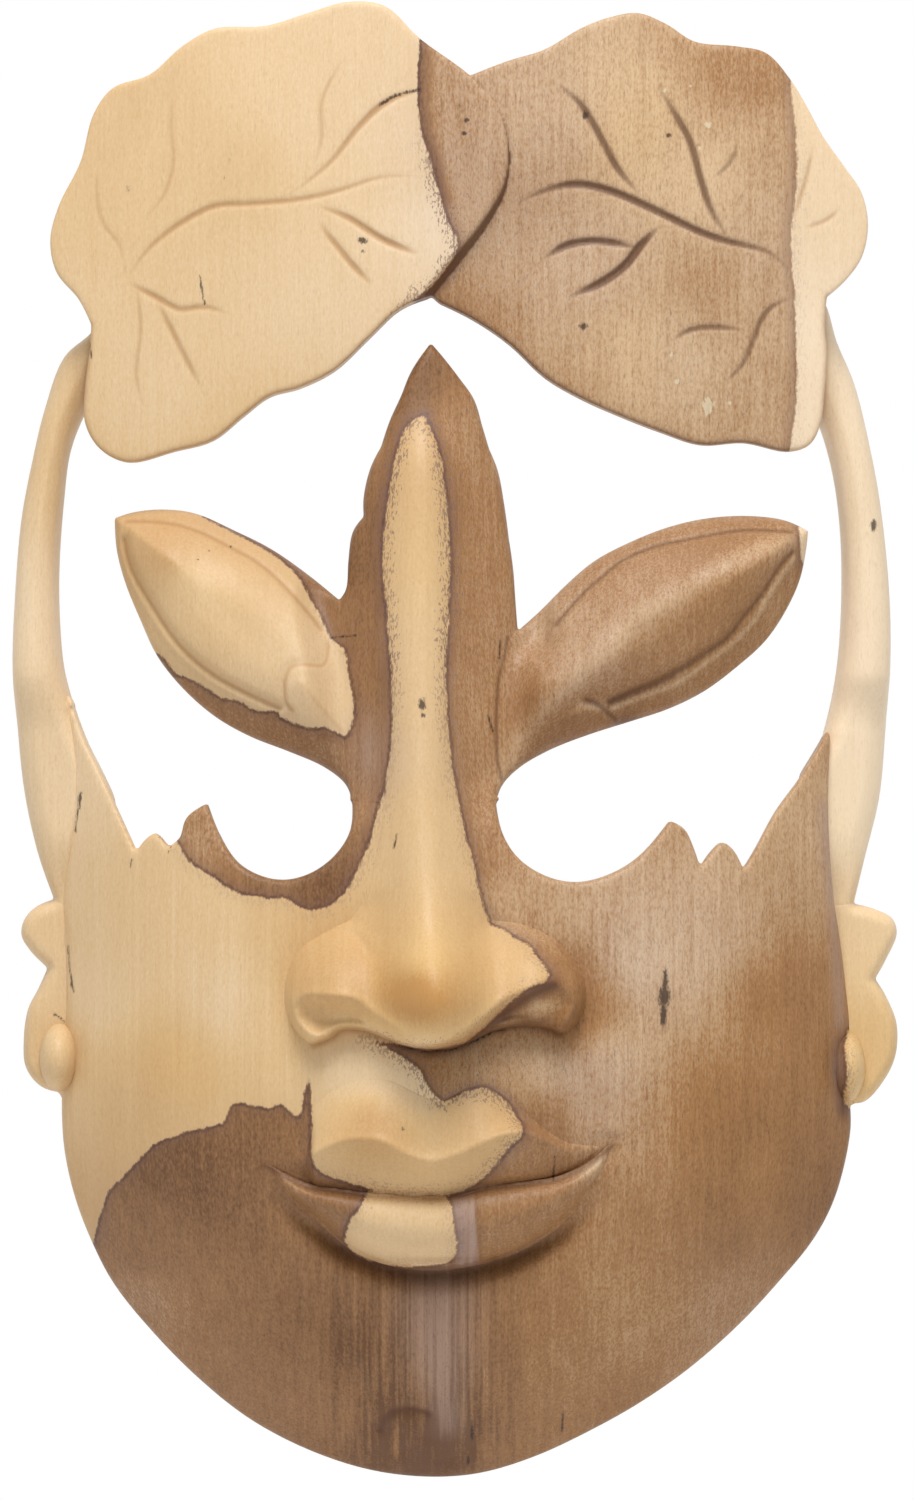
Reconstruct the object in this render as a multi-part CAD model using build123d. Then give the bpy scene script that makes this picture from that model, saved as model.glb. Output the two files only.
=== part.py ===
"""A carved wooden wall mask: a hollow-backed face, a leaf-shaped brow, two pod-shaped eyelids and a pair of
overlapping crown leaves that two slim side arms carry above the face, with a ring hanger on the back.

Plans are drawn as (x, h): x across from the centre line and h up from the chin. Depth d is measured forward
from the wall. In the part's own frame x is +X, d is -Y and h is +Z, less the height of the hang point.
"""

from build123d import *

import math
import os

# Driving dimensions, in millimetres
HANG_H = 317.0  # height of the wall hook above the chin
HALF_WIDTH = 91.0  # of the face, at its widest
WIDEST_H = 95.0  # height of the widest place
RIM_D = 12.0  # depth of the face's edge
RISE_D = 36.0  # how far the face stands above its edge
ROUNDNESS = 3.4  # exponent of the face's curve: higher is flatter in the middle
BRIDGE_SINK = 0.14  # share of the rise that is lost at the bridge of the nose
BRIDGE_H = 156.0  # where the brow leaf meets the face
WALL_D = 9.0  # thickness of the hollow face
RIM_WIDTH = 12.0  # width of the flat rim that rests on the wall
HOLLOW_TOP_H = 196.0  # above the highest point of the face
ARM_D = 16.0  # thickness of the side arms, and where the crown leaves start
LAP_D = 23.0  # where the left leaf is notched over the right one
CROWN_D = 33.0  # front of the crown on the centre line
LEAF_STEP_D = 2.0  # how far the right leaf lies under the left one's surface
BROW_THICK = 16.0
BROW_LEAN = 0.13  # how fast the brow leaf falls back on its way up from the bridge
BROW_FLANK = 0.018  # how fast it falls away on each side of its ridge
RIDGE_X = -8.0  # the brow's ridge is a little left of the centre line
POD_THICK = 15.0
POD_TIP_D = 24.0
POD_ROOT_D = 36.0
POD_FLANK = 0.010
NOSE_TIP_D = 76.0
NOSE_TIP_H = 112.0
NOSE_TIP_X = -5.0
NOSE_RIDGE = 6.0  # how far the nose's ridge stands off the brow leaf and the face
NOSE_WING = 9.0
NOSE_WINGS_X = (-28.0, 18.0)
UPPER_LIP_RISE = 11.0
LOWER_LIP_RISE = 7.0
EAR_D = 12.0
STUD_D = 22.0

DOWEL_R = 2.5
THIN_DOWEL_R = 2.0
EAR_DOWEL_R = 1.5
WIRE_R = 1.25  # of the hanger ring
HINGE_GAP = 0.08
HINGE_H = 300.0
HINGE_D = 13.4
RING_HALF_WIDTH = 9.0
STRAP_WIDTH = 10.0
STRAP_THICK = 1.0
SCREW_R = 1.5
SCREW_HEAD_R = 2.6
SCREW_HEAD_H = 1.4
SCREW_LENGTH = 7.5
SCREW_HEIGHTS = (287.0, 294.0)

DEEP = 120.0  # longer than anything here


# Outlines: each is a list of smooth runs, and a corner is where two runs meet
CROWN_NOTCH = (-84.0, 265.5)
LEFT_LEAF_TIP = (-5.5, 272.0)
LEAVES_MEET = (3.0, 322.5)
RIGHT_LEAF_TIP = (-4.0, 270.5)
RIGHT_NOTCH = (85.0, 272.0)

LEFT_LEAF = [
    [CROWN_NOTCH, (-87.0, 271.5), (-92.0, 277.5), (-93.5, 285.0), (-91.5, 293.0), (-86.5, 303.0),
     (-83.5, 314.0), (-79.0, 320.0), (-70.5, 323.0), (-63.0, 329.5), (-55.5, 333.5), (-44.0, 334.0),
     (-34.0, 337.0), (-25.0, 339.5), (-16.5, 338.5), (-8.5, 331.0), LEAVES_MEET, (9.0, 316.0),
     (12.0, 307.0), (11.5, 297.0), (7.0, 288.0), (1.0, 280.0), LEFT_LEAF_TIP],
    [LEFT_LEAF_TIP, (-13.0, 269.0), (-20.0, 262.5), (-28.0, 255.0), (-36.0, 251.0), (-43.0, 249.0),
     (-49.0, 244.5), (-56.0, 239.0), (-65.0, 236.5), (-75.5, 234.0), (-82.0, 237.0), (-85.5, 243.0),
     (-85.5, 251.0), (-84.5, 259.0), CROWN_NOTCH],
]
RIGHT_LEAF = [
    [LEAVES_MEET, (12.0, 326.0), (20.0, 328.5), (28.5, 333.5), (35.0, 336.0), (41.5, 337.0), (48.0, 334.5),
     (54.5, 330.5), (64.0, 329.5), (71.0, 328.0), (76.5, 322.0), (80.5, 315.5), (84.0, 309.0),
     (89.0, 302.0), (93.0, 296.0), (94.5, 288.5), (93.0, 281.0), (89.5, 276.0), RIGHT_NOTCH],
    [RIGHT_NOTCH, (84.5, 265.5), (85.0, 259.0), (84.5, 250.5), (83.5, 242.5), (81.0, 238.0), (76.0, 236.5),
     (66.0, 238.5), (56.0, 238.0), (46.5, 241.0), (37.5, 244.5), (28.5, 248.5), (20.0, 253.5),
     (12.0, 261.0), (4.0, 266.5), RIGHT_LEAF_TIP],
    [RIGHT_LEAF_TIP, (-14.0, 281.0), (-19.0, 298.0), (-13.0, 314.0), LEAVES_MEET],
]
LEFT_ARM = [
    [(-76.5, 280.0), (-84.0, 265.5), (-91.0, 259.0), (-95.5, 247.0), (-98.5, 234.5), (-101.0, 221.0),
     (-102.5, 202.5), (-103.0, 186.5), (-102.0, 172.5), (-100.5, 158.5), (-97.5, 145.0), (-93.5, 133.5)],
    [(-93.5, 133.5), (-90.5, 132.0)],
    [(-90.5, 132.0), (-89.5, 145.0), (-88.0, 156.5), (-88.0, 168.0), (-89.0, 179.5)],
    [(-89.0, 179.5), (-91.0, 187.5), (-92.0, 200.0), (-92.0, 211.5), (-91.0, 225.5), (-89.5, 237.0),
     (-86.5, 245.0), (-82.0, 253.0), (-72.0, 266.0), (-67.0, 277.0)],
    [(-67.0, 277.0), (-71.0, 281.5), (-76.5, 280.0)],
]
RIGHT_ARM = [
    [(77.5, 280.0), (85.0, 272.0), (88.0, 262.5), (92.0, 253.0), (95.5, 239.0), (98.0, 225.5),
     (100.0, 207.0), (100.5, 191.0), (99.5, 172.5), (98.0, 156.5), (94.5, 142.5), (92.0, 132.5)],
    [(92.0, 132.5), (85.5, 132.0)],
    [(85.5, 132.0), (84.5, 142.5), (84.0, 156.5), (84.5, 171.0)],
    [(84.5, 171.0), (87.0, 181.5), (88.5, 193.0), (89.0, 211.5), (88.0, 225.5), (86.0, 236.0),
     (83.0, 245.0), (74.0, 262.0), (69.0, 275.0)],
    [(69.0, 275.0), (72.0, 281.0), (77.5, 280.0)],
]
LEFT_EAR = [
    [(-93.5, 133.5), (-98.0, 131.5), (-100.5, 128.5), (-101.0, 125.0), (-99.0, 121.5), (-95.0, 117.5)],
    [(-95.0, 117.5), (-97.0, 113.0), (-99.5, 108.0), (-100.5, 101.0), (-100.0, 94.5), (-96.5, 90.0),
     (-91.5, 88.5)],
    [(-91.5, 88.5), (-91.0, 92.0), (-89.5, 101.0), (-88.5, 110.5), (-89.0, 122.0), (-90.5, 132.0)],
    [(-90.5, 132.0), (-93.5, 133.5)],
]
RIGHT_EAR = [
    [(85.5, 132.0), (92.0, 132.5)],
    [(92.0, 132.5), (97.5, 131.0), (101.0, 129.0), (102.0, 125.5), (99.5, 119.5), (97.0, 115.0)],
    [(97.0, 115.0), (99.5, 111.0), (102.0, 104.5), (101.5, 96.5), (98.0, 90.0), (94.5, 86.5), (91.0, 86.0)],
    [(91.0, 86.0), (90.0, 92.0), (89.5, 102.5), (88.5, 110.5), (87.0, 123.0), (85.5, 132.0)],
]
FACE = [
    [(-89.0, 179.5), (-85.5, 170.0), (-82.0, 163.0), (-77.5, 153.5), (-73.5, 145.0)],
    [(-73.5, 145.0), (-71.0, 148.0), (-69.0, 149.0), (-66.0, 146.0)],
    [(-66.0, 146.0), (-63.5, 148.0), (-62.0, 152.5), (-57.0, 156.0)],
    [(-57.0, 156.0), (-54.0, 148.5), (-50.0, 142.5), (-45.0, 139.5), (-39.5, 138.5), (-33.5, 140.0),
     (-28.0, 144.0), (-24.5, 149.5), (-24.0, BRIDGE_H)],
    [(-24.0, BRIDGE_H), (9.0, BRIDGE_H)],
    [(9.0, BRIDGE_H), (10.5, 149.0), (14.0, 143.5), (20.0, 139.5), (27.0, 138.0), (34.0, 139.5),
     (41.0, 143.5), (48.5, 152.0)],
    [(48.5, 152.0), (52.0, 150.0), (54.0, 146.0), (55.5, 141.5)],
    [(55.5, 141.5), (58.0, 145.0), (60.5, 147.0), (63.0, 145.5), (65.5, 141.0)],
    [(65.5, 141.0), (68.5, 146.0), (73.0, 154.0), (79.0, 162.0), (84.5, 171.0)],
    [(84.5, 171.0), (84.0, 156.5), (84.5, 142.5), (85.5, 132.0)],
    [(85.5, 132.0), (87.0, 123.0), (88.5, 110.5), (89.5, 102.5), (90.0, 92.0), (91.0, 86.0)],
    [(91.0, 86.0), (91.0, 79.0), (87.5, 64.5), (82.5, 55.0), (74.5, 45.5), (65.0, 35.5), (53.5, 25.5),
     (42.0, 17.5), (30.5, 11.0), (18.0, 5.0), (5.5, 1.0), (-6.0, 0.0), (-20.0, 1.5), (-34.0, 6.0),
     (-47.5, 13.0), (-59.0, 22.0), (-70.5, 33.5), (-79.5, 44.5), (-84.5, 54.0), (-88.5, 64.5),
     (-91.0, 76.0), (-91.5, 88.5)],
    [(-91.5, 88.5), (-91.0, 92.0), (-89.5, 101.0), (-88.5, 110.5), (-89.0, 122.0), (-90.5, 132.0)],
    [(-90.5, 132.0), (-89.5, 145.0), (-88.0, 156.5), (-88.0, 168.0), (-89.0, 179.5)],
]
LEFT_POD_SEAM = [(-27.0, 202.5), (-25.5, 193.0), (-24.0, 181.5), (-23.0, 170.0), (-24.0, BRIDGE_H)]
RIGHT_POD_SEAM = [(9.0, BRIDGE_H), (9.5, 170.0), (9.5, 181.5), (10.0, 190.0), (14.0, 195.5)]
LEFT_POD = [
    [(-79.0, 221.5), (-74.0, 223.0), (-67.0, 223.5), (-60.0, 222.5), (-51.0, 218.5), (-43.0, 214.5),
     (-35.0, 209.0), (-27.0, 202.5)],
    LEFT_POD_SEAM,
    [(-24.0, BRIDGE_H), (-25.5, 160.0), (-30.5, 164.0), (-38.5, 167.5), (-47.5, 171.0), (-55.5, 175.5),
     (-63.0, 182.0), (-69.0, 189.5), (-73.0, 198.0), (-76.5, 206.5), (-78.5, 214.0), (-79.0, 221.5)],
]
RIGHT_POD = [
    [(14.0, 195.5), (19.0, 200.0), (25.0, 206.0), (31.5, 211.5), (40.0, 216.0), (49.0, 219.5),
     (58.0, 221.5), (67.5, 222.0), (75.5, 221.0), (81.0, 218.5)],
    [(81.0, 218.5), (80.5, 214.0), (79.0, 207.0), (75.5, 199.5), (71.0, 193.0), (65.0, 187.5),
     (57.0, 181.5), (49.0, 177.5), (40.0, 174.5), (30.5, 171.5), (21.5, 168.0), (14.5, 164.0),
     (10.5, 160.0), (9.0, BRIDGE_H)],
    RIGHT_POD_SEAM,
]
BROW_LEAF = [
    [(-27.0, 202.5), (-25.5, 205.0), (-25.0, 211.5), (-24.0, 218.0), (-21.5, 221.5)],
    [(-21.5, 221.5), (-21.5, 226.0), (-20.0, 232.5), (-17.5, 237.5)],
    [(-17.5, 237.5), (-15.5, 243.5), (-13.0, 249.0), (-10.5, 255.0), (-6.0, 261.5)],
    [(-6.0, 261.5), (-3.0, 258.0), (0.5, 253.5), (4.0, 248.5), (6.0, 242.0), (7.5, 237.0)],
    [(7.5, 237.0), (9.5, 232.0), (11.0, 224.0), (12.0, 216.5)],
    [(12.0, 216.5), (13.0, 209.5), (13.5, 202.5), (14.0, 195.5)],
    RIGHT_POD_SEAM[::-1],
    [(9.0, BRIDGE_H), (-24.0, BRIDGE_H)],
    LEFT_POD_SEAM[::-1],
]
NOSE = [
    [(-7.5, 244.5), (-11.5, 242.0), (-13.5, 237.0), (-15.5, 227.5), (-17.0, 214.0), (-16.0, 198.0),
     (-15.0, 184.0), (-15.0, 170.0), (-16.5, 158.5), (-18.0, 147.0), (-20.5, 137.0), (-24.0, 129.5)],
    [(-24.0, 129.5), (-30.5, 126.0), (-35.0, 123.0), (-38.0, 118.0), (-39.0, 112.0), (-38.0, 107.0),
     (-35.5, 103.0), (-32.5, 101.0)],
    [(-32.5, 101.0), (-29.0, 102.5), (-26.0, 104.5), (-22.0, 104.5), (-16.5, 102.5), (-11.0, 100.5),
     (-6.0, 100.0), (0.0, 100.5), (4.5, 102.5), (9.0, 104.5), (14.5, 105.5), (19.5, 105.0), (23.5, 103.5)],
    [(23.5, 103.5), (27.5, 106.5), (29.0, 110.5), (28.5, 116.0), (25.0, 122.0), (20.0, 126.0),
     (13.5, 128.5), (8.0, 129.5)],
    [(8.0, 129.5), (5.5, 136.5), (3.0, 145.0), (1.0, 153.5), (-1.0, 163.5), (-2.0, 172.5), (-2.5, 184.0),
     (-2.0, 198.0), (-1.5, 209.5), (-2.0, 221.0), (-3.0, 230.0), (-4.5, 238.0), (-7.5, 244.5)],
]
LIPS_PART_H = 69.0
MOUTH_LEFT = (-43.5, 73.5)
MOUTH_RIGHT = (35.0, 78.0)
LIP_PARTING = [MOUTH_RIGHT, (29.5, 73.5), (22.5, 70.5), (14.5, 69.5), (5.5, 68.5), (-3.0, 66.5),
               (-10.0, 66.5), (-19.0, 67.0), (-27.0, 68.0), (-34.0, 69.0), MOUTH_LEFT]
UPPER_LIP = [
    [MOUTH_LEFT, (-38.5, 76.0), (-33.5, 86.0), (-26.0, 92.0), (-16.5, 93.5), (-8.5, 90.0), (-4.0, 88.5),
     (2.0, 91.0), (8.5, 91.5), (15.5, 86.0), (23.5, 79.5), MOUTH_RIGHT],
    LIP_PARTING,
]
LOWER_LIP = [
    [MOUTH_RIGHT, (33.0, 72.0), (28.5, 65.5), (22.5, 59.5), (14.5, 54.5), (5.5, 51.5), (-6.0, 50.0),
     (-16.5, 51.5), (-24.5, 55.0), (-31.0, 60.5), (-37.5, 66.0), MOUTH_LEFT],
    LIP_PARTING[::-1],
]
LEFT_STUD_AT, LEFT_STUD_SIZE = (-91.8, 97.0), (4.9, 8.3)
RIGHT_STUD_AT, RIGHT_STUD_SIZE = (90.4, 94.8), (4.1, 8.3)

# Dowels: where each one starts, as (x, d, h), the way it points, and its length
CROWN_DOWELS = [((-78.0, 4.0, 262.0), "forward", 18.0), ((-73.5, 4.0, 273.0), "forward", 18.0),
                ((79.0, 4.0, 262.0), "forward", 18.0), ((75.0, 4.0, 273.0), "forward", 18.0)]
LAP_DOWELS = [((-9.5, 18.0, 289.0), "forward", 10.5), ((-9.5, 18.0, 307.0), "forward", 10.5)]
POD_DOWELS = [((-33.0, 28.5, 180.0), "across", 16.0), ((0.0, 28.5, 176.0), "across", 18.0)]
BROW_DOWELS = [((-14.0, 38.2, 147.0), "up", 18.0), ((-1.0, 38.2, 147.0), "up", 18.0)]
ARM_DOWELS = [((-93.5, 7.0, 140.0), "across", 11.5), ((-96.0, 7.0, 154.0), "across", 14.0),
              ((80.5, 7.0, 140.0), "across", 11.5), ((80.5, 7.0, 154.0), "across", 14.0)]
EAR_DOWELS = [((-96.0, 6.0, 127.0), "across", 14.0), ((-97.0, 6.0, 99.0), "across", 13.0),
              ((80.0, 6.0, 124.0), "across", 14.0), ((83.0, 6.0, 97.0), "across", 14.0)]
NOSE_DOWELS = [((-6.0, 41.0, 118.0), "forward", 16.0), ((-9.0, 28.0, 196.0), "forward", 13.0)]
LIP_DOWELS = [((-5.0, 41.0, 79.0), "forward", 11.0), ((-5.0, 41.0, 60.0), "forward", 8.5)]


# Front surfaces: how far forward of the wall the wood reaches at (x, h)
def face_front(x, h):
    """A dome that falls to the jaw below its widest place and sinks slowly towards the brow above it."""
    if h < WIDEST_H:
        out = math.hypot(x / HALF_WIDTH, (h - WIDEST_H) / WIDEST_H)
        return RIM_D + RISE_D * (1 - out**ROUNDNESS)
    sink = BRIDGE_SINK * ((h - WIDEST_H) / (BRIDGE_H - WIDEST_H)) ** 2
    return RIM_D + RISE_D * (1 - abs(x / HALF_WIDTH) ** ROUNDNESS) * (1 - sink)


def face_back(x, h):
    return face_front(x, h) - WALL_D


def crown_front(x, h):
    return CROWN_D - 8 * (x / 95) ** 2 - 2 * ((h - 290) / 45) ** 2


def right_leaf_front(x, h):
    return crown_front(x, h) - LEAF_STEP_D


def brow_front(x, h):
    """The leaf falls back on its way up, and away on both sides of its ridge."""
    bridge_d = RIM_D + RISE_D * (1 - BRIDGE_SINK)
    return bridge_d - BROW_LEAN * (h - BRIDGE_H) - BROW_FLANK * (x - RIDGE_X) ** 2


def brow_back(x, h):
    return brow_front(RIDGE_X, h) - BROW_THICK


def pod_front(tip, root):
    """A rounded ridge from the pod's tip to its root, which is where it meets the brow."""
    (tx, th), (rx, rh) = tip, root
    length = math.hypot(rx - tx, rh - th)
    ax, ah = (rx - tx) / length, (rh - th) / length

    def front(x, h):
        along = ((x - tx) * ax + (h - th) * ah) / length
        aside = (h - th) * ax - (x - tx) * ah
        return POD_TIP_D + (POD_ROOT_D - POD_TIP_D) * along - POD_FLANK * aside**2

    return front


def hump(offset, width):
    return math.exp(-((offset / width) ** 2))


def nose_front(x, h):
    """A low ridge down the brow leaf that climbs to the tip of the nose, with a wing on each side."""
    under = face_front(x, h) if h < BRIDGE_H else brow_front(x, h)
    tip_rise = NOSE_TIP_D - face_front(0, NOSE_TIP_H) - NOSE_RIDGE
    tip = tip_rise * hump(h - NOSE_TIP_H, 17) * hump(x - NOSE_TIP_X, 17)
    wings = sum(NOSE_WING * hump(x - wing_x, 9) * hump(h - NOSE_TIP_H, 10) for wing_x in NOSE_WINGS_X)
    return under + NOSE_RIDGE * hump(x - RIDGE_X, 17) + tip + wings


def lip_front(rise):
    """The lips stand out most in the middle and where they part, and hardly at all at their corners."""

    def front(x, h):
        share = max(0, 1 - ((x - NOSE_TIP_X) / 41) ** 2)
        return face_front(x, h) + 1 + rise * share - 0.012 * (h - LIPS_PART_H) ** 2

    return front


# Building blocks
def at(x, d, h):
    """A point of the frame, from a plan position and a depth."""
    return Vector(x, -d, h - HANG_H)


def prism(outline, low, high):
    """The outline's shape from depth low to depth high."""
    edges = []
    for run in outline:
        points = [at(x, low, h) for x, h in run]
        edges.append(Line(*points) if len(points) == 2 else Spline(*points))
    face = Face(Wire(edges))
    return Solid.extrude(face, Vector(0, low - high, 0))


def beneath(front, x_range, h_range, rows=22):
    """Everything behind a front surface, over a rectangle of the plan, back to well past the wall."""
    grid = []
    for i in range(rows):
        h = h_range[0] + (h_range[1] - h_range[0]) * i / (rows - 1)
        xs = [x_range[0] + (x_range[1] - x_range[0]) * j / (rows - 1) for j in range(rows)]
        grid.append([at(x, front(x, h), h) for x in xs])
    skin = Face.make_surface_from_array_of_points(grid)
    return Solid.extrude(skin, Vector(0, DEEP, 0))


def plan_range(outline, margin=3.0):
    xs = [x for run in outline for x, _ in run]
    hs = [h for run in outline for _, h in run]
    return (min(xs) - margin, max(xs) + margin), (min(hs) - margin, max(hs) + margin)


def slab(outline, front, low=0.0):
    """An outline carved to a front surface, with a flat back at depth low."""
    return prism(outline, low, DEEP) & beneath(front, *plan_range(outline))


def dowel(start, way, length, radius=DOWEL_R):
    """A round peg, or the hole for one."""
    directions = {"forward": (0, -1, 0), "across": (1, 0, 0), "up": (0, 0, 1)}
    return Solid.make_cylinder(radius, length, Plane(at(*start), z_dir=directions[way]))


def solid_of(shape):
    """The one solid that a cut or a join leaves, without any crumbs."""
    return max(shape.solids(), key=lambda s: s.volume)


def drilled(shape, pegs):
    for peg in pegs:
        shape = shape - peg
    return solid_of(shape)


# Wooden pieces
def face_shell():
    """The carved face, hollowed from behind by a half ellipse that is open at the top."""
    shell = slab(FACE, face_front)
    inner_x, inner_h = HALF_WIDTH - RIM_WIDTH, WIDEST_H - RIM_WIDTH
    angles = [math.pi * (1 + i / 12) for i in range(13)]
    arc = [(inner_x * math.cos(a), WIDEST_H + inner_h * math.sin(a)) for a in angles]
    left_top, right_top = (-inner_x, HOLLOW_TOP_H), (inner_x, HOLLOW_TOP_H)
    hollow_plan = [arc, [arc[-1], right_top], [right_top, left_top], [left_top, arc[0]]]
    dome = beneath(face_back, (-HALF_WIDTH, HALF_WIDTH), (0, HOLLOW_TOP_H + 3))
    return solid_of(shell - (prism(hollow_plan, -1, DEEP) & dome))


def left_crown_leaf():
    leaf = slab(LEFT_LEAF, crown_front, ARM_D)
    return solid_of(leaf - prism(RIGHT_LEAF, ARM_D - 1, LAP_D))


def right_crown_leaf():
    leaf = slab(RIGHT_LEAF, right_leaf_front, ARM_D)
    return solid_of(leaf - prism(LEFT_LEAF, LAP_D, DEEP))


def arm(outline):
    return prism(outline, 0, ARM_D)


def brow_leaf():
    return slab(BROW_LEAF, brow_front) - beneath(brow_back, *plan_range(BROW_LEAF, 4))


def eye_pod(outline, tip, root):
    front = pod_front(tip, root)
    ranges = plan_range(outline)
    wide = plan_range(outline, 4)
    return slab(outline, front) - beneath(lambda x, h: front(x, h) - POD_THICK, *wide)


def nose(below):
    bulk = prism(NOSE, 20, DEEP) & beneath(nose_front, *plan_range(NOSE), rows=34)
    for piece in below:
        bulk = bulk - piece
    x_range, h_range = plan_range(NOSE, 6)
    over_face = beneath(face_front, x_range, (h_range[0], BRIDGE_H))
    return solid_of(bulk - over_face)


def lip(outline, rise):
    bulk = prism(outline, 20, DEEP) & beneath(lip_front(rise), *plan_range(outline))
    return solid_of(bulk - beneath(face_front, *plan_range(outline, 6)))


def ear(outline):
    return prism(outline, 0, EAR_D)


def ear_stud(centre, size, neighbours):
    """A rounded button on the ear lobe, which laps over the edge of the face."""
    (cx, ch), (rx, rh) = centre, size
    button = Solid.extrude(Face(Wire(Ellipse(rx, rh).edges())), Vector(0, 0, STUD_D - EAR_D))
    button = Plane(at(cx, EAR_D, ch), x_dir=(1, 0, 0), z_dir=(0, -1, 0)).from_local_coords(button)
    for piece in neighbours:
        button = button - piece
    return solid_of(button)


# Hanger
def hanger_strap():
    """A folded strap: a plate with two screw holes and a rolled eye across its top."""
    eye_in = WIRE_R + HINGE_GAP
    eye_out = eye_in + STRAP_THICK
    low, high = SCREW_HEIGHTS[0] - 5, HINGE_H
    plate = Box(STRAP_WIDTH, STRAP_THICK, high - low)
    plate = Pos(at(0, ARM_D - STRAP_THICK / 2, (low + high) / 2)) * plate
    eye_plane = Plane(at(-STRAP_WIDTH / 2, HINGE_D, HINGE_H), z_dir=(1, 0, 0))
    strap = plate + Solid.make_cylinder(eye_out, STRAP_WIDTH, eye_plane)
    strap = strap - Solid.make_cylinder(eye_in, STRAP_WIDTH, eye_plane)
    for h in SCREW_HEIGHTS:
        strap = strap - dowel((0, ARM_D - 5, h), "forward", 10, SCREW_R + HINGE_GAP)
    return solid_of(strap)


def hanger_ring():
    """A bent wire D whose straight leg runs through the strap's eye. It hangs down at rest."""
    w, drop = RING_HALF_WIDTH, HANG_H - HINGE_H + WIRE_R - RING_HALF_WIDTH
    left, right = at(-w, HINGE_D, HINGE_H), at(w, HINGE_D, HINGE_H)
    left_low, right_low = at(-w, HINGE_D, HINGE_H - drop), at(w, HINGE_D, HINGE_H - drop)
    bottom = at(0, HINGE_D, HINGE_H - drop - w)
    straight = Line(left, right)
    bow = Wire([Line(right, right_low), ThreePointArc(right_low, bottom, left_low), Line(left_low, left)])
    section = Circle(WIRE_R).face()
    leg = sweep(Plane(straight @ 0, z_dir=straight % 0) * section, straight)
    hoop = sweep(Plane(bow @ 0, z_dir=bow % 0) * section, bow)
    corners = [Pos(p) * Sphere(WIRE_R) for p in (left, right)]
    return solid_of(leg + hoop + corners[0] + corners[1])


def hanger_screws():
    screws = []
    for h in SCREW_HEIGHTS:
        shank = dowel((0, ARM_D - STRAP_THICK, h), "forward", SCREW_LENGTH, SCREW_R)
        head_low = ARM_D - STRAP_THICK
        head_plane = Plane(at(0, head_low, h), z_dir=(0, 1, 0))
        head = Solid.make_cone(SCREW_HEAD_R, SCREW_HEAD_R * 0.6, SCREW_HEAD_H, head_plane)
        slot = Pos(at(0, head_low - SCREW_HEAD_H, h)) * Box(SCREW_HEAD_R * 3, 1.2, 0.7)
        screws.append(solid_of(shank + head - slot))
    return screws


def save(name, solids):
    solids = solids if isinstance(solids, list) else [solids]
    shape = solids[0] if len(solids) == 1 else Compound(children=solids)
    shape.label = name
    export_step(shape, f"parts/{name}.step")


def main():
    os.makedirs("parts", exist_ok=True)
    crown_pegs = [dowel(*d) for d in CROWN_DOWELS]
    lap_pegs = [dowel(*d) for d in LAP_DOWELS]
    pod_pegs = [dowel(*d) for d in POD_DOWELS]
    brow_pegs = [dowel(*d, THIN_DOWEL_R) for d in BROW_DOWELS]
    arm_pegs = [dowel(*d, THIN_DOWEL_R) for d in ARM_DOWELS]
    ear_pegs = [dowel(*d, EAR_DOWEL_R) for d in EAR_DOWELS]
    nose_pegs = [dowel(*d) for d in NOSE_DOWELS]
    lip_pegs = [dowel(*d) for d in LIP_DOWELS]
    screws = hanger_screws()

    shell = drilled(face_shell(), brow_pegs + arm_pegs + ear_pegs + nose_pegs + lip_pegs)
    brow = drilled(brow_leaf(), pod_pegs + brow_pegs + nose_pegs)
    left_root, right_root = (-24, 178), (9.5, 176)
    left_stud = ear_stud(LEFT_STUD_AT, LEFT_STUD_SIZE, [shell])
    right_stud = ear_stud(RIGHT_STUD_AT, RIGHT_STUD_SIZE, [shell])

    save("face_shell", shell)
    save("brow_leaf", brow)
    save("nose", drilled(nose([brow]), nose_pegs))
    save("upper_lip", drilled(lip(UPPER_LIP, UPPER_LIP_RISE), lip_pegs))
    save("lower_lip", drilled(lip(LOWER_LIP, LOWER_LIP_RISE), lip_pegs))
    save("left_eye_pod", drilled(eye_pod(LEFT_POD, (-79, 221.5), left_root), pod_pegs))
    save("right_eye_pod", drilled(eye_pod(RIGHT_POD, (81, 218.5), right_root), pod_pegs))
    save("left_side_arm", drilled(arm(LEFT_ARM), crown_pegs + arm_pegs))
    save("right_side_arm", drilled(arm(RIGHT_ARM), crown_pegs + arm_pegs))
    save("left_crown_leaf", drilled(left_crown_leaf(), crown_pegs + lap_pegs))
    save("right_crown_leaf", drilled(right_crown_leaf(), crown_pegs + lap_pegs + screws))
    save("left_ear", drilled(ear(LEFT_EAR), ear_pegs))
    save("right_ear", drilled(ear(RIGHT_EAR), ear_pegs))
    save("left_ear_stud", left_stud)
    save("right_ear_stud", right_stud)
    save("crown_dowels", crown_pegs)
    save("crown_lap_dowels", lap_pegs)
    save("pod_dowels", pod_pegs)
    save("brow_dowels", brow_pegs)
    save("arm_dowels", arm_pegs)
    save("ear_dowels", ear_pegs)
    save("nose_dowels", nose_pegs)
    save("lip_dowels", lip_pegs)
    save("hanger_strap", hanger_strap())
    save("hanger_ring", hanger_ring())
    save("hanger_screws", screws)


main()
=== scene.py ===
"""Looks of the carved wooden mask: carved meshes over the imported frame, two-tone wood, camera and studio.

Plans are (x, h) in millimetres: x across from the centre line and h up from the chin. Depth d is measured
forward from the wall. In the row frame x is +X, d is -Y and h is +Z from the chin.
"""
import math

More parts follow.
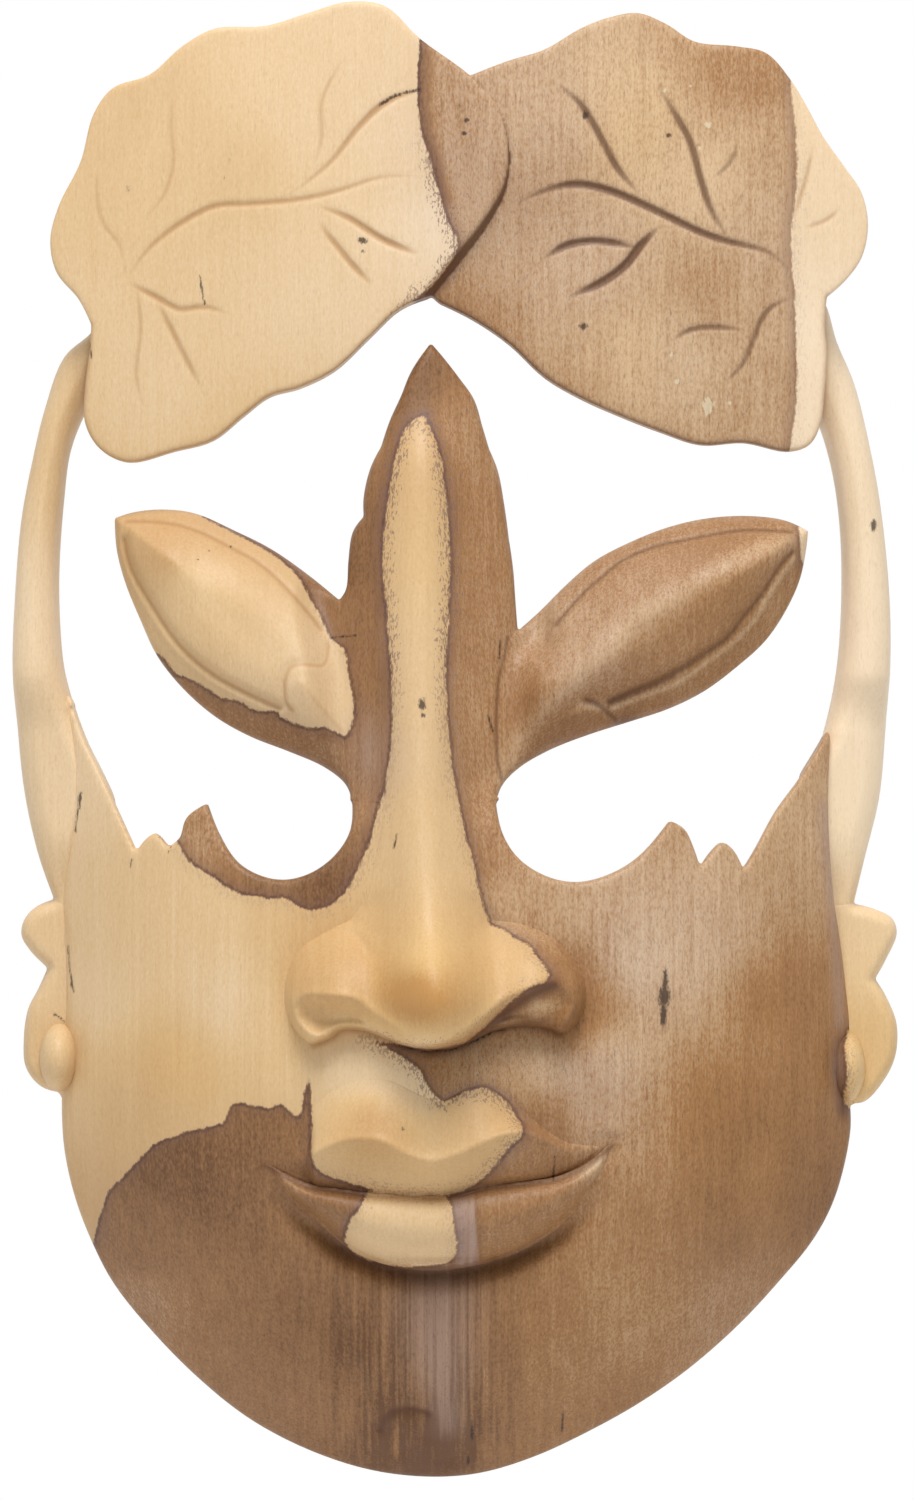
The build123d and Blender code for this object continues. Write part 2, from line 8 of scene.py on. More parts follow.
import bpy
import numpy as np
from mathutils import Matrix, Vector


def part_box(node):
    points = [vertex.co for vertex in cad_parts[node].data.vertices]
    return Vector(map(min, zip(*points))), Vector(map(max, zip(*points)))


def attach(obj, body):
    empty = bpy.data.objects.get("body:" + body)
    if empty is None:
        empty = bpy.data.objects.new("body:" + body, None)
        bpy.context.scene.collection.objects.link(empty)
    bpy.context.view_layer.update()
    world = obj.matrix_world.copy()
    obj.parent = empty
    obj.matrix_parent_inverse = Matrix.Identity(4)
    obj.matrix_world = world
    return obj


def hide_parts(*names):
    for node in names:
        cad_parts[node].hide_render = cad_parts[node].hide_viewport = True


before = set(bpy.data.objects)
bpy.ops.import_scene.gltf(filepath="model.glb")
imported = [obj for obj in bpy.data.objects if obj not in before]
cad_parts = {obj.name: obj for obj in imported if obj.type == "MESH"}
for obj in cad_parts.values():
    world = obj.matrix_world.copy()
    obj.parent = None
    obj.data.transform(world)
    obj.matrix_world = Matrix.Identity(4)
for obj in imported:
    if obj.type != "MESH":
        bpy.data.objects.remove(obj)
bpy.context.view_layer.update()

CHIN_Z = round(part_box("face_shell")[0][2], 3)

# Surfaces of the CAD, in millimetres
HALF_WIDTH, WIDEST_H = 91.0, 95.0
RIM_D, RISE_D, ROUNDNESS = 12.0, 36.0, 3.4
BRIDGE_H, BRIDGE_SINK = 156.0, 0.14
BRIDGE_D = RIM_D + RISE_D * (1 - BRIDGE_SINK)
WALL_D, RIM_WIDTH, HOLLOW_TOP_H = 9.0, 12.0, 196.0
ARM_D, EAR_D, CROWN_D, LAP_D = 16.0, 12.0, 33.0, 23.0
BROW_LEAN, BROW_FLANK, RIDGE_X, BROW_THICK = 0.13, 0.018, -8.0, 16.0
POD_THICK, POD_TIP_D, POD_ROOT_D = 15.0, 24.0, 36.0

# Meshing
GRID_STEP = 0.4
FINE, COARSE = 0.45, 0.8
SEAM_LAP = 1.5  # how far a piece runs on under its neighbour
SEAM_DIP = 0.5  # how far it sinks there

# Outlines: lists of smooth runs, and a corner is where two runs meet
CROWN_NOTCH = (-84, 265.5)
LEFT_LEAF_TIP = (-5.5, 272)
LEAVES_MEET = (3, 322.5)
RIGHT_LEAF_TIP = (-4, 270.5)
RIGHT_NOTCH = (85, 272)
LEFT_LEAF = [
    [CROWN_NOTCH, (-87, 271.5), (-92, 277.5), (-93.5, 285), (-91.5, 293), (-86.5, 303), (-83.5, 314),
     (-79, 320), (-70.5, 323), (-63, 329.5), (-55.5, 333.5), (-44, 334), (-34, 337), (-25, 339.5),
     (-16.5, 338.5), (-8.5, 331), LEAVES_MEET, (9, 316), (12, 307), (11.5, 297), (7, 288), (1, 280),
     LEFT_LEAF_TIP],
    [LEFT_LEAF_TIP, (-13, 269), (-20, 262.5), (-28, 255), (-36, 251), (-43, 249), (-49, 244.5), (-56, 239),
     (-65, 236.5), (-75.5, 234), (-82, 237), (-85.5, 243), (-85.5, 251), (-84.5, 259), CROWN_NOTCH],
]
RIGHT_LEAF = [
    [LEAVES_MEET, (12, 326), (20, 328.5), (28.5, 333.5), (35, 336), (41.5, 337), (48, 334.5), (54.5, 330.5),
     (64, 329.5), (71, 328), (76.5, 322), (80.5, 315.5), (84, 309), (89, 302), (93, 296), (94.5, 288.5),
     (93, 281), (89.5, 276), RIGHT_NOTCH],
    [RIGHT_NOTCH, (84.5, 265.5), (85, 259), (84.5, 250.5), (83.5, 242.5), (81, 238), (76, 236.5),
     (66, 238.5), (56, 238), (46.5, 241), (37.5, 244.5), (28.5, 248.5), (20, 253.5), (12, 261), (4, 266.5),
     RIGHT_LEAF_TIP],
    [RIGHT_LEAF_TIP, (-14, 281), (-19, 298), (-13, 314), LEAVES_MEET],
]
LEFT_ARM = [
    [(-76.5, 280), (-84, 265.5), (-91, 259), (-95.5, 247), (-98.5, 234.5), (-101, 221), (-102.5, 202.5),
     (-103, 186.5), (-102, 172.5), (-100.5, 158.5), (-97.5, 145), (-93.5, 133.5)],
    [(-93.5, 133.5), (-90.5, 132)],
    [(-90.5, 132), (-89.5, 145), (-88, 156.5), (-88, 168), (-89, 179.5)],
    [(-89, 179.5), (-91, 187.5), (-92, 200), (-92, 211.5), (-91, 225.5), (-89.5, 237), (-86.5, 245),
     (-82, 253), (-72, 266), (-67, 277)],
    [(-67, 277), (-71, 281.5), (-76.5, 280)],
]
RIGHT_ARM = [
    [(77.5, 280), (85, 272), (88, 262.5), (92, 253), (95.5, 239), (98, 225.5), (100, 207), (100.5, 191),
     (99.5, 172.5), (98, 156.5), (94.5, 142.5), (92, 132.5)],
    [(92, 132.5), (85.5, 132)],
    [(85.5, 132), (84.5, 142.5), (84, 156.5), (84.5, 171)],
    [(84.5, 171), (87, 181.5), (88.5, 193), (89, 211.5), (88, 225.5), (86, 236), (83, 245), (74, 262),
     (69, 275)],
    [(69, 275), (72, 281), (77.5, 280)],
]
LEFT_EAR = [
    [(-93.5, 133.5), (-98, 131.5), (-100.5, 128.5), (-101, 125), (-99, 121.5), (-95, 117.5)],
    [(-95, 117.5), (-97, 113), (-99.5, 108), (-100.5, 101), (-100, 94.5), (-96.5, 90), (-91.5, 88.5)],
    [(-91.5, 88.5), (-91, 92), (-89.5, 101), (-88.5, 110.5), (-89, 122), (-90.5, 132)],
    [(-90.5, 132), (-93.5, 133.5)],
]
RIGHT_EAR = [
    [(85.5, 132), (92, 132.5)],
    [(92, 132.5), (97.5, 131), (101, 129), (102, 125.5), (99.5, 119.5), (97, 115)],
    [(97, 115), (99.5, 111), (102, 104.5), (101.5, 96.5), (98, 90), (94.5, 86.5), (91, 86)],
    [(91, 86), (90, 92), (89.5, 102.5), (88.5, 110.5), (87, 123), (85.5, 132)],
]
FACE = [
    [(-89, 179.5), (-85.5, 170), (-82, 163), (-77.5, 153.5), (-73.5, 145)],
    [(-73.5, 145), (-71, 148), (-69, 149), (-66, 146)],
    [(-66, 146), (-63.5, 148), (-62, 152.5), (-57, 156)],
    [(-57, 156), (-54, 148.5), (-50, 142.5), (-45, 139.5), (-39.5, 138.5), (-33.5, 140), (-28, 144),
     (-24.5, 149.5), (-24, BRIDGE_H)],
    [(-24, BRIDGE_H), (9, BRIDGE_H)],
    [(9, BRIDGE_H), (10.5, 149), (14, 143.5), (20, 139.5), (27, 138), (34, 139.5), (41, 143.5), (48.5, 152)],
    [(48.5, 152), (52, 150), (54, 146), (55.5, 141.5)],
    [(55.5, 141.5), (58, 145), (60.5, 147), (63, 145.5), (65.5, 141)],
    [(65.5, 141), (68.5, 146), (73, 154), (79, 162), (84.5, 171)],
    [(84.5, 171), (84, 156.5), (84.5, 142.5), (85.5, 132)],
    [(85.5, 132), (87, 123), (88.5, 110.5), (89.5, 102.5), (90, 92), (91, 86)],
    [(91, 86), (91, 79), (87.5, 64.5), (82.5, 55), (74.5, 45.5), (65, 35.5), (53.5, 25.5), (42, 17.5),
     (30.5, 11), (18, 5), (5.5, 1), (-6, 0), (-20, 1.5), (-34, 6), (-47.5, 13), (-59, 22), (-70.5, 33.5),
     (-79.5, 44.5), (-84.5, 54), (-88.5, 64.5), (-91, 76), (-91.5, 88.5)],
    [(-91.5, 88.5), (-91, 92), (-89.5, 101), (-88.5, 110.5), (-89, 122), (-90.5, 132)],
    [(-90.5, 132), (-89.5, 145), (-88, 156.5), (-88, 168), (-89, 179.5)],
]
LEFT_POD_SEAM = [(-27, 202.5), (-25.5, 193), (-24, 181.5), (-23, 170), (-24, BRIDGE_H)]
RIGHT_POD_SEAM = [(9, BRIDGE_H), (9.5, 170), (9.5, 181.5), (10, 190), (14, 195.5)]
LEFT_POD_TIP, LEFT_POD_ROOT = (-79, 221.5), (-24, 178)
RIGHT_POD_TIP, RIGHT_POD_ROOT = (81, 218.5), (9.5, 176)
LEFT_POD = [
    [LEFT_POD_TIP, (-74, 223), (-67, 223.5), (-60, 222.5), (-51, 218.5), (-43, 214.5), (-35, 209),
     (-27, 202.5)],
    LEFT_POD_SEAM,
    [(-24, BRIDGE_H), (-25.5, 160), (-30.5, 164), (-38.5, 167.5), (-47.5, 171), (-55.5, 175.5), (-63, 182),
     (-69, 189.5), (-73, 198), (-76.5, 206.5), (-78.5, 214), LEFT_POD_TIP],
]
RIGHT_POD = [
    [(14, 195.5), (19, 200), (25, 206), (31.5, 211.5), (40, 216), (49, 219.5), (58, 221.5), (67.5, 222),
     (75.5, 221), RIGHT_POD_TIP],
    [RIGHT_POD_TIP, (80.5, 214), (79, 207), (75.5, 199.5), (71, 193), (65, 187.5), (57, 181.5), (49, 177.5),
     (40, 174.5), (30.5, 171.5), (21.5, 168), (14.5, 164), (10.5, 160), (9, BRIDGE_H)],
    RIGHT_POD_SEAM,
]
BROW_LEAF = [
    [(-27, 202.5), (-25.5, 205), (-25, 211.5), (-24, 218), (-21.5, 221.5)],
    [(-21.5, 221.5), (-21.5, 226), (-20, 232.5), (-17.5, 237.5)],
    [(-17.5, 237.5), (-15.5, 243.5), (-13, 249), (-10.5, 255), (-6, 261.5)],
    [(-6, 261.5), (-3, 258), (0.5, 253.5), (4, 248.5), (6, 242), (7.5, 237)],
    [(7.5, 237), (9.5, 232), (11, 224), (12, 216.5)],
    [(12, 216.5), (13, 209.5), (13.5, 202.5), (14, 195.5)],
    RIGHT_POD_SEAM[::-1],
    [(9, BRIDGE_H), (-24, BRIDGE_H)],
    LEFT_POD_SEAM[::-1],
]
NOSE_BASE = [
    (-32.5, 101), (-29, 102.5), (-26, 104.5), (-22, 104.5), (-16.5, 102.5), (-11, 100.5), (-6, 100),
    (0, 100.5), (4.5, 102.5), (9, 104.5), (14.5, 105.5), (19.5, 105), (23.5, 103.5)]
NOSE = [
    [(-7.5, 244.5), (-11.5, 242), (-13.5, 237), (-15.5, 227.5), (-17, 214), (-16, 198), (-15, 184),
     (-15, 170), (-16.5, 158.5), (-18, 147), (-20.5, 137), (-24, 129.5)],
    [(-24, 129.5), (-30.5, 126), (-35, 123), (-38, 118), (-39, 112), (-38, 107), (-35.5, 103), (-32.5, 101)],
    NOSE_BASE,
    [(23.5, 103.5), (27.5, 106.5), (29, 110.5), (28.5, 116), (25, 122), (20, 126), (13.5, 128.5), (8, 129.5)],
    [(8, 129.5), (5.5, 136.5), (3, 145), (1, 153.5), (-1, 163.5), (-2, 172.5), (-2.5, 184), (-2, 198),
     (-1.5, 209.5), (-2, 221), (-3, 230), (-4.5, 238), (-7.5, 244.5)],
]
NOSTRIL_DISH = [
    [(-36.7, 110.5), (-34.5, 112.5), (-28, 112.5), (-22.5, 111.5), (-19.5, 109), (-16, 106.5), (-11, 103.5),
     (-6, 101.5), (-1.5, 103), (2.5, 105), (6.5, 108), (10.5, 111.5), (15.5, 114), (20.5, 115.5),
     (24.5, 114)],
    [(24.5, 114), (26, 110.5), (24.5, 106.5), (22, 104)],
    [(22, 104), (14.5, 105), (9, 104), (4.5, 102), (-6, 99.5), (-16.5, 102), (-22, 104), (-26, 104),
     (-30, 103)],
    [(-30, 103), (-33.5, 104), (-36.3, 107), (-36.7, 110.5)],
]
MOUTH_LEFT, MOUTH_RIGHT = (-43.5, 73.5), (35, 78)
LIP_PARTING = [
    MOUTH_RIGHT, (29.5, 73.5), (22.5, 70.5), (14.5, 69.5), (5.5, 68.5), (-3, 66.5), (-10, 66.5), (-19, 67),
    (-27, 68), (-34, 69), MOUTH_LEFT]
LIP_TOP = [
    MOUTH_LEFT, (-38.5, 76), (-33.5, 86), (-26, 92), (-16.5, 93.5), (-8.5, 90), (-4, 88.5), (2, 91),
    (8.5, 91.5), (15.5, 86), (23.5, 79.5), MOUTH_RIGHT]
LIP_BOTTOM = [
    MOUTH_RIGHT, (33, 72), (28.5, 65.5), (22.5, 59.5), (14.5, 54.5), (5.5, 51.5), (-6, 50), (-16.5, 51.5),
    (-24.5, 55), (-31, 60.5), (-37.5, 66), MOUTH_LEFT]
UPPER_LIP, LOWER_LIP = [LIP_TOP, LIP_PARTING], [LIP_BOTTOM, LIP_PARTING[::-1]]
LIP_CREASE = [
    (-33, 76.5), (-29, 78.5), (-25, 80), (-19, 80), (-15.5, 79), (-11, 76.5), (-6, 75), (-0.5, 76.5),
    (5, 79), (9.5, 81), (14.5, 82), (24, 78)]
LEFT_STUD = ((-91.8, 97), (4.9, 8.3))
RIGHT_STUD = ((90.4, 94.8), (4.1, 8.3))

# Carved lines
LEFT_RIMS = (
    [(-76, 220.5), (-66, 220), (-59, 218), (-52, 214.5), (-46.5, 211.5), (-41, 207), (-35, 200.5),
     (-31, 195.5)],
    [(-76.5, 216.5), (-75, 210), (-70.5, 202), (-64, 192.5), (-57.5, 186.5), (-52, 183), (-40.5, 177.5)],
)
LEFT_CALYX = [
    (-29.5, 192.5), (-30.5, 187.5), (-35, 187.5), (-37.5, 187), (-39, 185), (-39, 179), (-37.5, 177)]
LEFT_CREASE = [(-35.5, 183), (-26.5, 172.5)]
LEFT_CREST = [(-66, 213), (-50, 204.5), (-43, 198), (-38.5, 191), (-31.5, 179.5), (-24.5, 170)]
RIGHT_RIMS = (
    [(22.5, 196.5), (29, 204), (33, 207.5), (38, 211.5), (46.5, 215), (51.5, 216), (59, 217.5), (67, 218.5),
     (77, 218)],
    [(77, 213.5), (73.5, 209.5), (70, 204), (66, 199), (62, 194), (56.5, 190), (51, 186.5), (45.5, 183.5),
     (40.5, 181.5), (35, 179)],
)
# The raised bead along the right pod's lower rim, where a painted highlight runs
RIGHT_BEAD_HIGHLIGHT = [
    (77.5, 212), (74.5, 208), (71, 202.5), (67.5, 197), (62, 191.5), (56.5, 187.5), (51.5, 184),
    (46, 181.5), (40.5, 179.5), (35.5, 177.5)]
RIGHT_LOBE = [(29.5, 179.5), (32, 178.5), (34.5, 176.5), (36.5, 174.5), (37, 171.5)]
RIGHT_CREST = [
    (11, 162), (12.5, 166), (16, 172), (21.5, 178.5), (27, 184), (35, 191.5), (42, 198), (51, 203.5),
    (64.5, 211), (76, 216)]
SEAM_CRACK = [(11.5, 194), (11, 190), (9.5, 184.5), (9, 176.5), (9, 168.5), (10, 161.5)]
NOSTRIL_EDGE = [(22, 115), (16.5, 112.5), (11, 108.5), (6.5, 104.5), (0.5, 101.5), (-6.5, 100)]
CHIN_ARC = [(-17.5, 12), (-16, 15.5), (-13, 17), (-9, 17), (-6.5, 16)]

WING_FOLD = [(-29, 127), (-24, 126.5), (-20.5, 122.5)]

# Veins: a width at the start, one at the end, and the line
VEINS = [
    (0.9, 0.4, [(-75, 277), (-70.5, 283), (-63.5, 288.5), (-55.5, 292.5), (-47.5, 293), (-36, 294),
                (-27, 296), (-17.5, 299), (-8.5, 299)]),
    (0.2, 1.2, [(-38.5, 295), (-29, 302.5), (-22.5, 310.5), (-16.5, 316), (-8.5, 319)]),
    (0.4, 0.2, [(-32.5, 302.5), (-31, 308), (-31, 316), (-28, 323), (-26, 326)]),
    (0.7, 1.2, [(-31.5, 292.5), (-24.5, 289.5), (-16.5, 284.5), (-9, 281.5)]),
    (0.7, 0.9, [(-31.5, 288.5), (-28, 284), (-23.5, 278.5), (-19.5, 274.5)]),
    (0.9, 0.5, [(-75, 275), (-68.5, 271.5), (-63.5, 269), (-58, 269.5), (-52, 268)]),
    (0.7, 0.6, [(-68.5, 270.5), (-65, 263.5), (-61.5, 256.5), (-58.5, 251)]),
    (0.3, 0.3, [(-73.5, 275), (-72.5, 264.5), (-73.5, 254), (-72, 247)]),
    (0.3, 0.2, [(-76.5, 280), (-77.5, 284), (-81, 288.5), (-82.5, 294.5), (-82.5, 300)]),
    (0.3, 0.1, [(-71, 290.5), (-67, 295.5), (-65, 302.5), (-65.5, 310.5), (-65.5, 317.5)]),
    (1.4, 0.9, [(14.5, 293.5), (20, 296), (27, 297.5), (35, 296), (44.5, 292), (56, 286.5), (62, 284.5),
                (71.5, 282), (76, 278)]),
    (0.9, 1, [(23.5, 320), (28.5, 315.5), (33, 308), (36.5, 301.5), (41.5, 295.5)]),
    (0.9, 1, [(46, 320), (50, 313.5), (53.5, 307), (56, 298), (58.5, 291), (62, 285.5)]),
    (0.4, 0.4, [(64, 306.5), (62.5, 302.5), (59, 299.5)]),
    (1.3, 1, [(20, 280.5), (25, 283.5), (31.5, 284.5), (41.5, 283)]),
    (1.3, 1.5, [(26, 272), (33, 275), (38.5, 279), (42, 283.5), (46, 287.5)]),
    (0.8, 0.6, [(49.5, 262), (54.5, 264.5), (65, 264.5)]),
    (0.8, 0.5, [(76, 271.5), (71, 268.5), (67.5, 261), (65.5, 256.5), (61, 252)]),
    (0.2, 0.6, [(81.5, 306), (80, 299), (77.5, 291)]),
    (0.4, 0.4, [(80, 288), (84.5, 289.5), (87.5, 292)]),
]

# Where the pale sapwood shows
PALE_CHEEK = [
    (-96, 184), (-96, 53), (-85.5, 50), (-84, 54), (-82, 61), (-80, 66.5), (-76.5, 70), (-72, 75),
    (-68.5, 78), (-62.5, 80.5), (-59, 81.5), (-53.5, 83), (-51, 87.5), (-43, 86.5), (-40, 87.5),
    (-36, 84.5), (-34.5, 91), (-33.5, 93), (-33, 85), (-32.3, 73.5), (-26.5, 70.5), (-20.5, 68.5),
    (-9.5, 67), (-2.5, 67), (2.5, 68.5), (7.5, 72.5), (12, 78), (15, 81.5), (13.5, 85), (10, 89.5),
    (5.5, 91.5), (0.5, 90), (-3, 88.5), (-6, 91), (-8.5, 95.5), (-13, 99), (-21, 103.5), (-8.5, 110.5),
    (-8.5, 133.5), (-16.5, 158.5), (-17.5, 156.5), (-20, 147), (-23.5, 139), (-27, 134), (-30.5, 132),
    (-34, 131.5), (-38.5, 134), (-44, 134.5), (-50, 135.5), (-55.5, 139), (-61.5, 143), (-64, 147),
    (-66, 149), (-68, 152), (-71, 152), (-73, 150), (-80, 165), (-86, 184)]
PALE_NOSE_RIGHT = [
    (4.5, 138), (5.5, 134), (7.5, 128.5), (11.5, 126.5), (16.5, 123.5), (19.5, 119.5), (21, 117),
    (19.5, 115.5), (15.5, 114), (11.5, 110.5), (7.5, 106.5), (2, 102), (-6, 100)]
PALE_LIP = [
    (-20.5, 68), (-22, 64.5), (-24, 62), (-25.5, 56.5), (-23.5, 53.5), (-18, 51), (-7.5, 50.5), (-2, 51.5),
    (0, 54.5), (-0.5, 60), (-2.5, 66.5)]
PALE_POD = [
    (-58.5, 221.5), (-53.5, 219), (-48.5, 216.5), (-42.5, 213), (-37.5, 209), (-35, 205.5), (-33, 201.5),
    (-30.5, 197), (-29, 193.5), (-26, 191), (-25, 186), (-23.5, 177), (-24.5, 172.5), (-25.5, 171),
    (-29.5, 173), (-33, 173), (-37.5, 174), (-40.5, 175.5), (-41, 176.5), (-46, 177), (-50.5, 179.5),
    (-54, 180), (-57, 182), (-61.5, 184.5), (-64.5, 185.5), (-68.5, 190), (-90, 192), (-90, 235), (-62, 235)]
PALE_POD_TIP = [(78.5, 225), (78.5, 219.5), (79, 214), (79.5, 211), (90, 209), (90, 225)]
PALE_STUD_RIGHT = [(90.2, 103.4), (89.2, 99), (89.8, 93), (89.4, 86.2), (98, 84), (98, 105)]
PALE_CROWN_LEFT = [
    (-120, 345), (-8.5, 345), (-8.5, 330.5), (-9, 319.5), (-8.5, 310.5), (-6, 302.5), (-4, 294.5),
    (-1.5, 288), (0, 284.5), (-0.3, 282), (-1.5, 279.5), (-4, 276), (-7, 273), (-10, 270.5), (-14, 266),
    (-25, 248), (-45, 230), (-120, 225)]
PALE_CROWN_RIGHT = [
    (76.5, 345), (76.5, 322), (77.5, 310.5), (78, 301.5), (76.5, 285), (77.5, 271.5), (78, 248.5),
    (77.5, 225), (120, 225), (120, 345)]

DARK_VEIN_END = [(-17.5, 315.5), (-14.5, 317.5), (-8.5, 319)]

# Knots and wax spots: x, h, half width and half height
KNOTS = [
    (-88.8, 114.3, 0.4, 1.4), (-92.9, 107, 0.4, 0.6), (3.5, 11.5, 0.5, 2.2), (2.5, 4.5, 0.4, 1.6),
    (-7.9, 178.4, 1.1, 1.7), (-7.8, 175.9, 0.6, 0.7), (47.2, 111.8, 1.6, 3.2), (47.4, 115, 0.8, 3.8),
    (47, 107.8, 0.8, 3.8), (10.1, 100.6, 0.5, 0.4), (-12.2, 82.3, 0.35, 0.8), (96.1, 219.7, 0.8, 1.8),
    (-87, 156.2, 0.45, 2.2), (-21.6, 284.5, 1.3, 0.9), (-21.5, 282, 0.5, 0.5), (2.1, 312, 0.7, 0.7),
    (1.5, 309, 0.8, 0.6), (48.5, 308.7, 0.9, 0.6), (29, 265, 1.1, 0.9), (29.4, 313.3, 0.9, 1.2),
    (-51.8, 214.6, 0.4, 0.4), (-56.8, 213.7, 0.35, 0.35), (-59.3, 211.6, 0.35, 0.35)]
FAINT_KNOTS = [
    (-75.3, 296.4, 1, 1.6), (-52.2, 302.9, 0.8, 1.5), (-53.3, 298.8, 0.6, 1), (0.6, 315.2, 1.6, 1.2),
    (29, 267, 0.5, 3), (-7.5, 173.8, 0.7, 0.7)]
CRACKS_AND_UNDERCUT_SHADE = [
    [(-68.6, 149), (-65.6, 145.9), (-66, 144.4)], [(-74.4, 143.2), (-74.9, 141)],
    [(-86.4, 158.5), (-87.5, 153.2), (-88, 149)], [(-89.7, 123), (-89.5, 118), (-88.3, 112)],
    [(-92.6, 107), (-90.6, 105.2)], [(-28.5, 193.7), (-23, 194.2)], [(7.1, 176), (8.2, 172)],
    [(9.9, 193.2), (9.7, 188.6)], [(-13.6, 149), (-14.4, 145.5)], [(24.4, 16.1), (24.2, 11.5)],
    [(22.1, 75.9), (21.9, 70.2)], [(-58.9, 276.5), (-57.8, 270)], [(-84.3, 261.5), (-83.8, 258)],
    # painted shade in the undercut below the nose, drawn like a crack
    [(-13, 101.2), (-8, 99.8), (-2, 99.9), (3, 101.6), (8, 104), (13, 105)]]
WAX = [
    (57.5, 246.8, 1.4, 2), (50.5, 252.5, 0.6, 0.7), (49, 258.6, 0.5, 0.5), (62.5, 247.5, 0.4, 0.5),
    (53.5, 320, 0.5, 0.5), (47.5, 319, 0.6, 0.4), (57.5, 311, 0.8, 0.8), (55.5, 306, 0.7, 0.4)]

# How light each kind of wood is at listed places, from 0 to 1
HEART_TONES = [
    (-20, 215, 0.25), (-20, 185, 0.3), (-22, 165, 0.5), (-12, 253, 0.15), (2, 240, 0.56), (7, 205, 0.53),
    (6, 180, 0.6), (5, 160, 0.53), (0, 140, 0.5), (12, 131, 0.76), (25, 118, 0.42), (27, 108, 0.16),
    (-60, 150, 0.6), (-45, 136, 0.25), (-28, 133, 0), (25, 130, 0.75), (20, 95, 0.9), (30, 85, 0.75),
    (40, 120, 0.85), (55, 125, 0.8), (75, 150, 0.75), (75, 110, 0.45), (80, 70, 0.3), (60, 60, 0.42),
    (40, 40, 0.56), (60, 85, 0.35), (-60, 70, 0.04), (-70, 55, 0.3), (-50, 40, 0.35), (-30, 20, 0.35),
    (-38, 68, 0.2), (-30, 60, 0.3), (-20, 35, 0.3), (-4, 35, 0.3), (10, 35, 0.45), (-10, 8, -0.1),
    (10, 62, 0.42), (25, 72, 0.5), (20, 85, 0.45), (4, 60, 0.45), (30, 5, 0.4), (25, 195, 0.68),
    (45, 205, 0.55), (60, 200, 0.45), (40, 182, 0.5), (20, 175, 0.38), (65, 214, 0.48), (2, 300, 0.7),
    (0, 318, 0.65), (20, 310, 0.8), (30, 280, 0.8), (55, 300, 0.98), (50, 260, 0.92), (60, 276, 0.62),
    (68, 322, 0.5), (73, 306, 0.72), (66, 290, 0.75), (75, 250, 0.64), (42, 309, 0.88), (72, 250, 0.75),
    (70, 270, 0.72), (4, 95, 0.68), (35, 100, 0.8), (48, 138, 0.75), (65, 40, 0.56), (-72, 40, 0.5),
    (20, 25, 0.52)]
# (-20, 96) and (-9, 95) are set at 1 and above: painted light that lifts the shade the nose casts on the
# upper lip
SAP_TONES = [
    (-60, 300, 0.5), (-30, 320, 0.6), (-30, 270, 0.65), (-70, 250, 0.6), (-97, 200, 0.8), (-95, 160, 0.7),
    (97, 200, 0.95), (95, 160, 1), (85, 300, 0.75), (83, 250, 0.95), (-70, 130, 0.5), (-50, 110, 0.6),
    (-70, 90, 0.3), (-82, 110, 0.6), (-64, 97, 0.35), (-85, 60, 0.25), (-20, 96, 1), (-9, 95, 1.1),
    (-12, 300, 0.6), (-8, 288, 0.75), (-18, 84, 0.1), (5, 84, 0.27), (-12, 58, 0.55), (-60, 205, 0.55),
    (-35, 182, 0.53), (-8, 235, 0.34), (-8, 190, 0.45), (-8, 150, 0.45), (-8, 121, 0.5), (-30, 116, 0.2),
    (-96, 97, 0.5), (98, 97, 0.5), (98, 125, 0.7), (-97, 126, 0.55), (-9, 113.5, -0.28), (-82, 318, 0.45),
    (-66, 215, 0.15), (-52, 214, 0.25)]

# The border between the woods at listed places: how many dark dots are beside it, how dark its rim is
BORDER = [
    (-8, 96, 0.8, 0.8), (2, 91, 1, 1), (11, 89, 0.8, 1), (20, 118, 0.5, 1), (-15, 66, 0.6, 1),
    (-60, 81, 0, 1), (-33, 85, 0.1, 1), (-45, 135, 0.3, 1), (-16, 190, 1, 1), (-16, 225, 1, 1),
    (-1, 200, 1, 0.8), (0, 150, 0.4, 0.9), (12, 127, 0.2, 1), (-5, 292, 1, 0.8), (-9, 318, 0.1, 0.9),
    (77, 315, 0.2, 0.2), (77, 290, 0.3, 0.2), (77, 250, 0.2, 0.35), (-45, 180, 0, 1), (-25, 184, 0, 1),
    (-40, 211, 0, 1), (0, 58, 0.3, 0.4), (-26, 58, 0.2, 1)]

# How warm the wood's colour is at listed places: -1 is grey and pink, 1 is orange
WARMTH = [
    (40, 120, -0.6), (30, 95, -0.7), (55, 125, -0.3), (75, 150, 0.2), (75, 110, 0.8), (60, 85, 0.8),
    (80, 70, 0.9), (-72, 40, -0.4), (65, 40, -0.2), (40, 40, 0.5), (20, 25, 0.4), (-4, 35, -0.8),
    (10, 38, 0.5), (-10, 9, 0.8), (-20, 35, 0.2), (-60, 70, 0), (-60, 40, 0.2), (-80, 60, 0), (10, 85, 0.3),
    (6, 180, 0.1), (7, 215, 0.1), (-20, 185, -0.2), (-22, 165, -0.7), (25, 195, -0.3), (45, 205, -0.1),
    (60, 195, 0.4), (2, 300, -0.6), (20, 310, -0.3), (30, 280, -0.4), (42, 309, 0.5), (60, 276, 0.1),
    (42, 259, 0.3), (27, 108, 0.8), (50, 260, -0.1), (55, 305, 0.2), (70, 280, -0.2), (-60, 300, 0),
    (-30, 290, 0), (-70, 250, 0.1), (-97, 200, 0.1), (97, 190, 0), (84, 290, -0.1), (-80, 120, 0),
    (-64, 97, 0.6), (-55, 110, -0.1), (-75, 85, 0.1), (-30, 116, 0.4), (-9, 114, 0.9), (-8, 150, 0.1),
    (-8, 210, 0.2), (-12, 84, 0.5), (-12, 58, 0), (-60, 205, 0.1), (-35, 182, -0.2)]


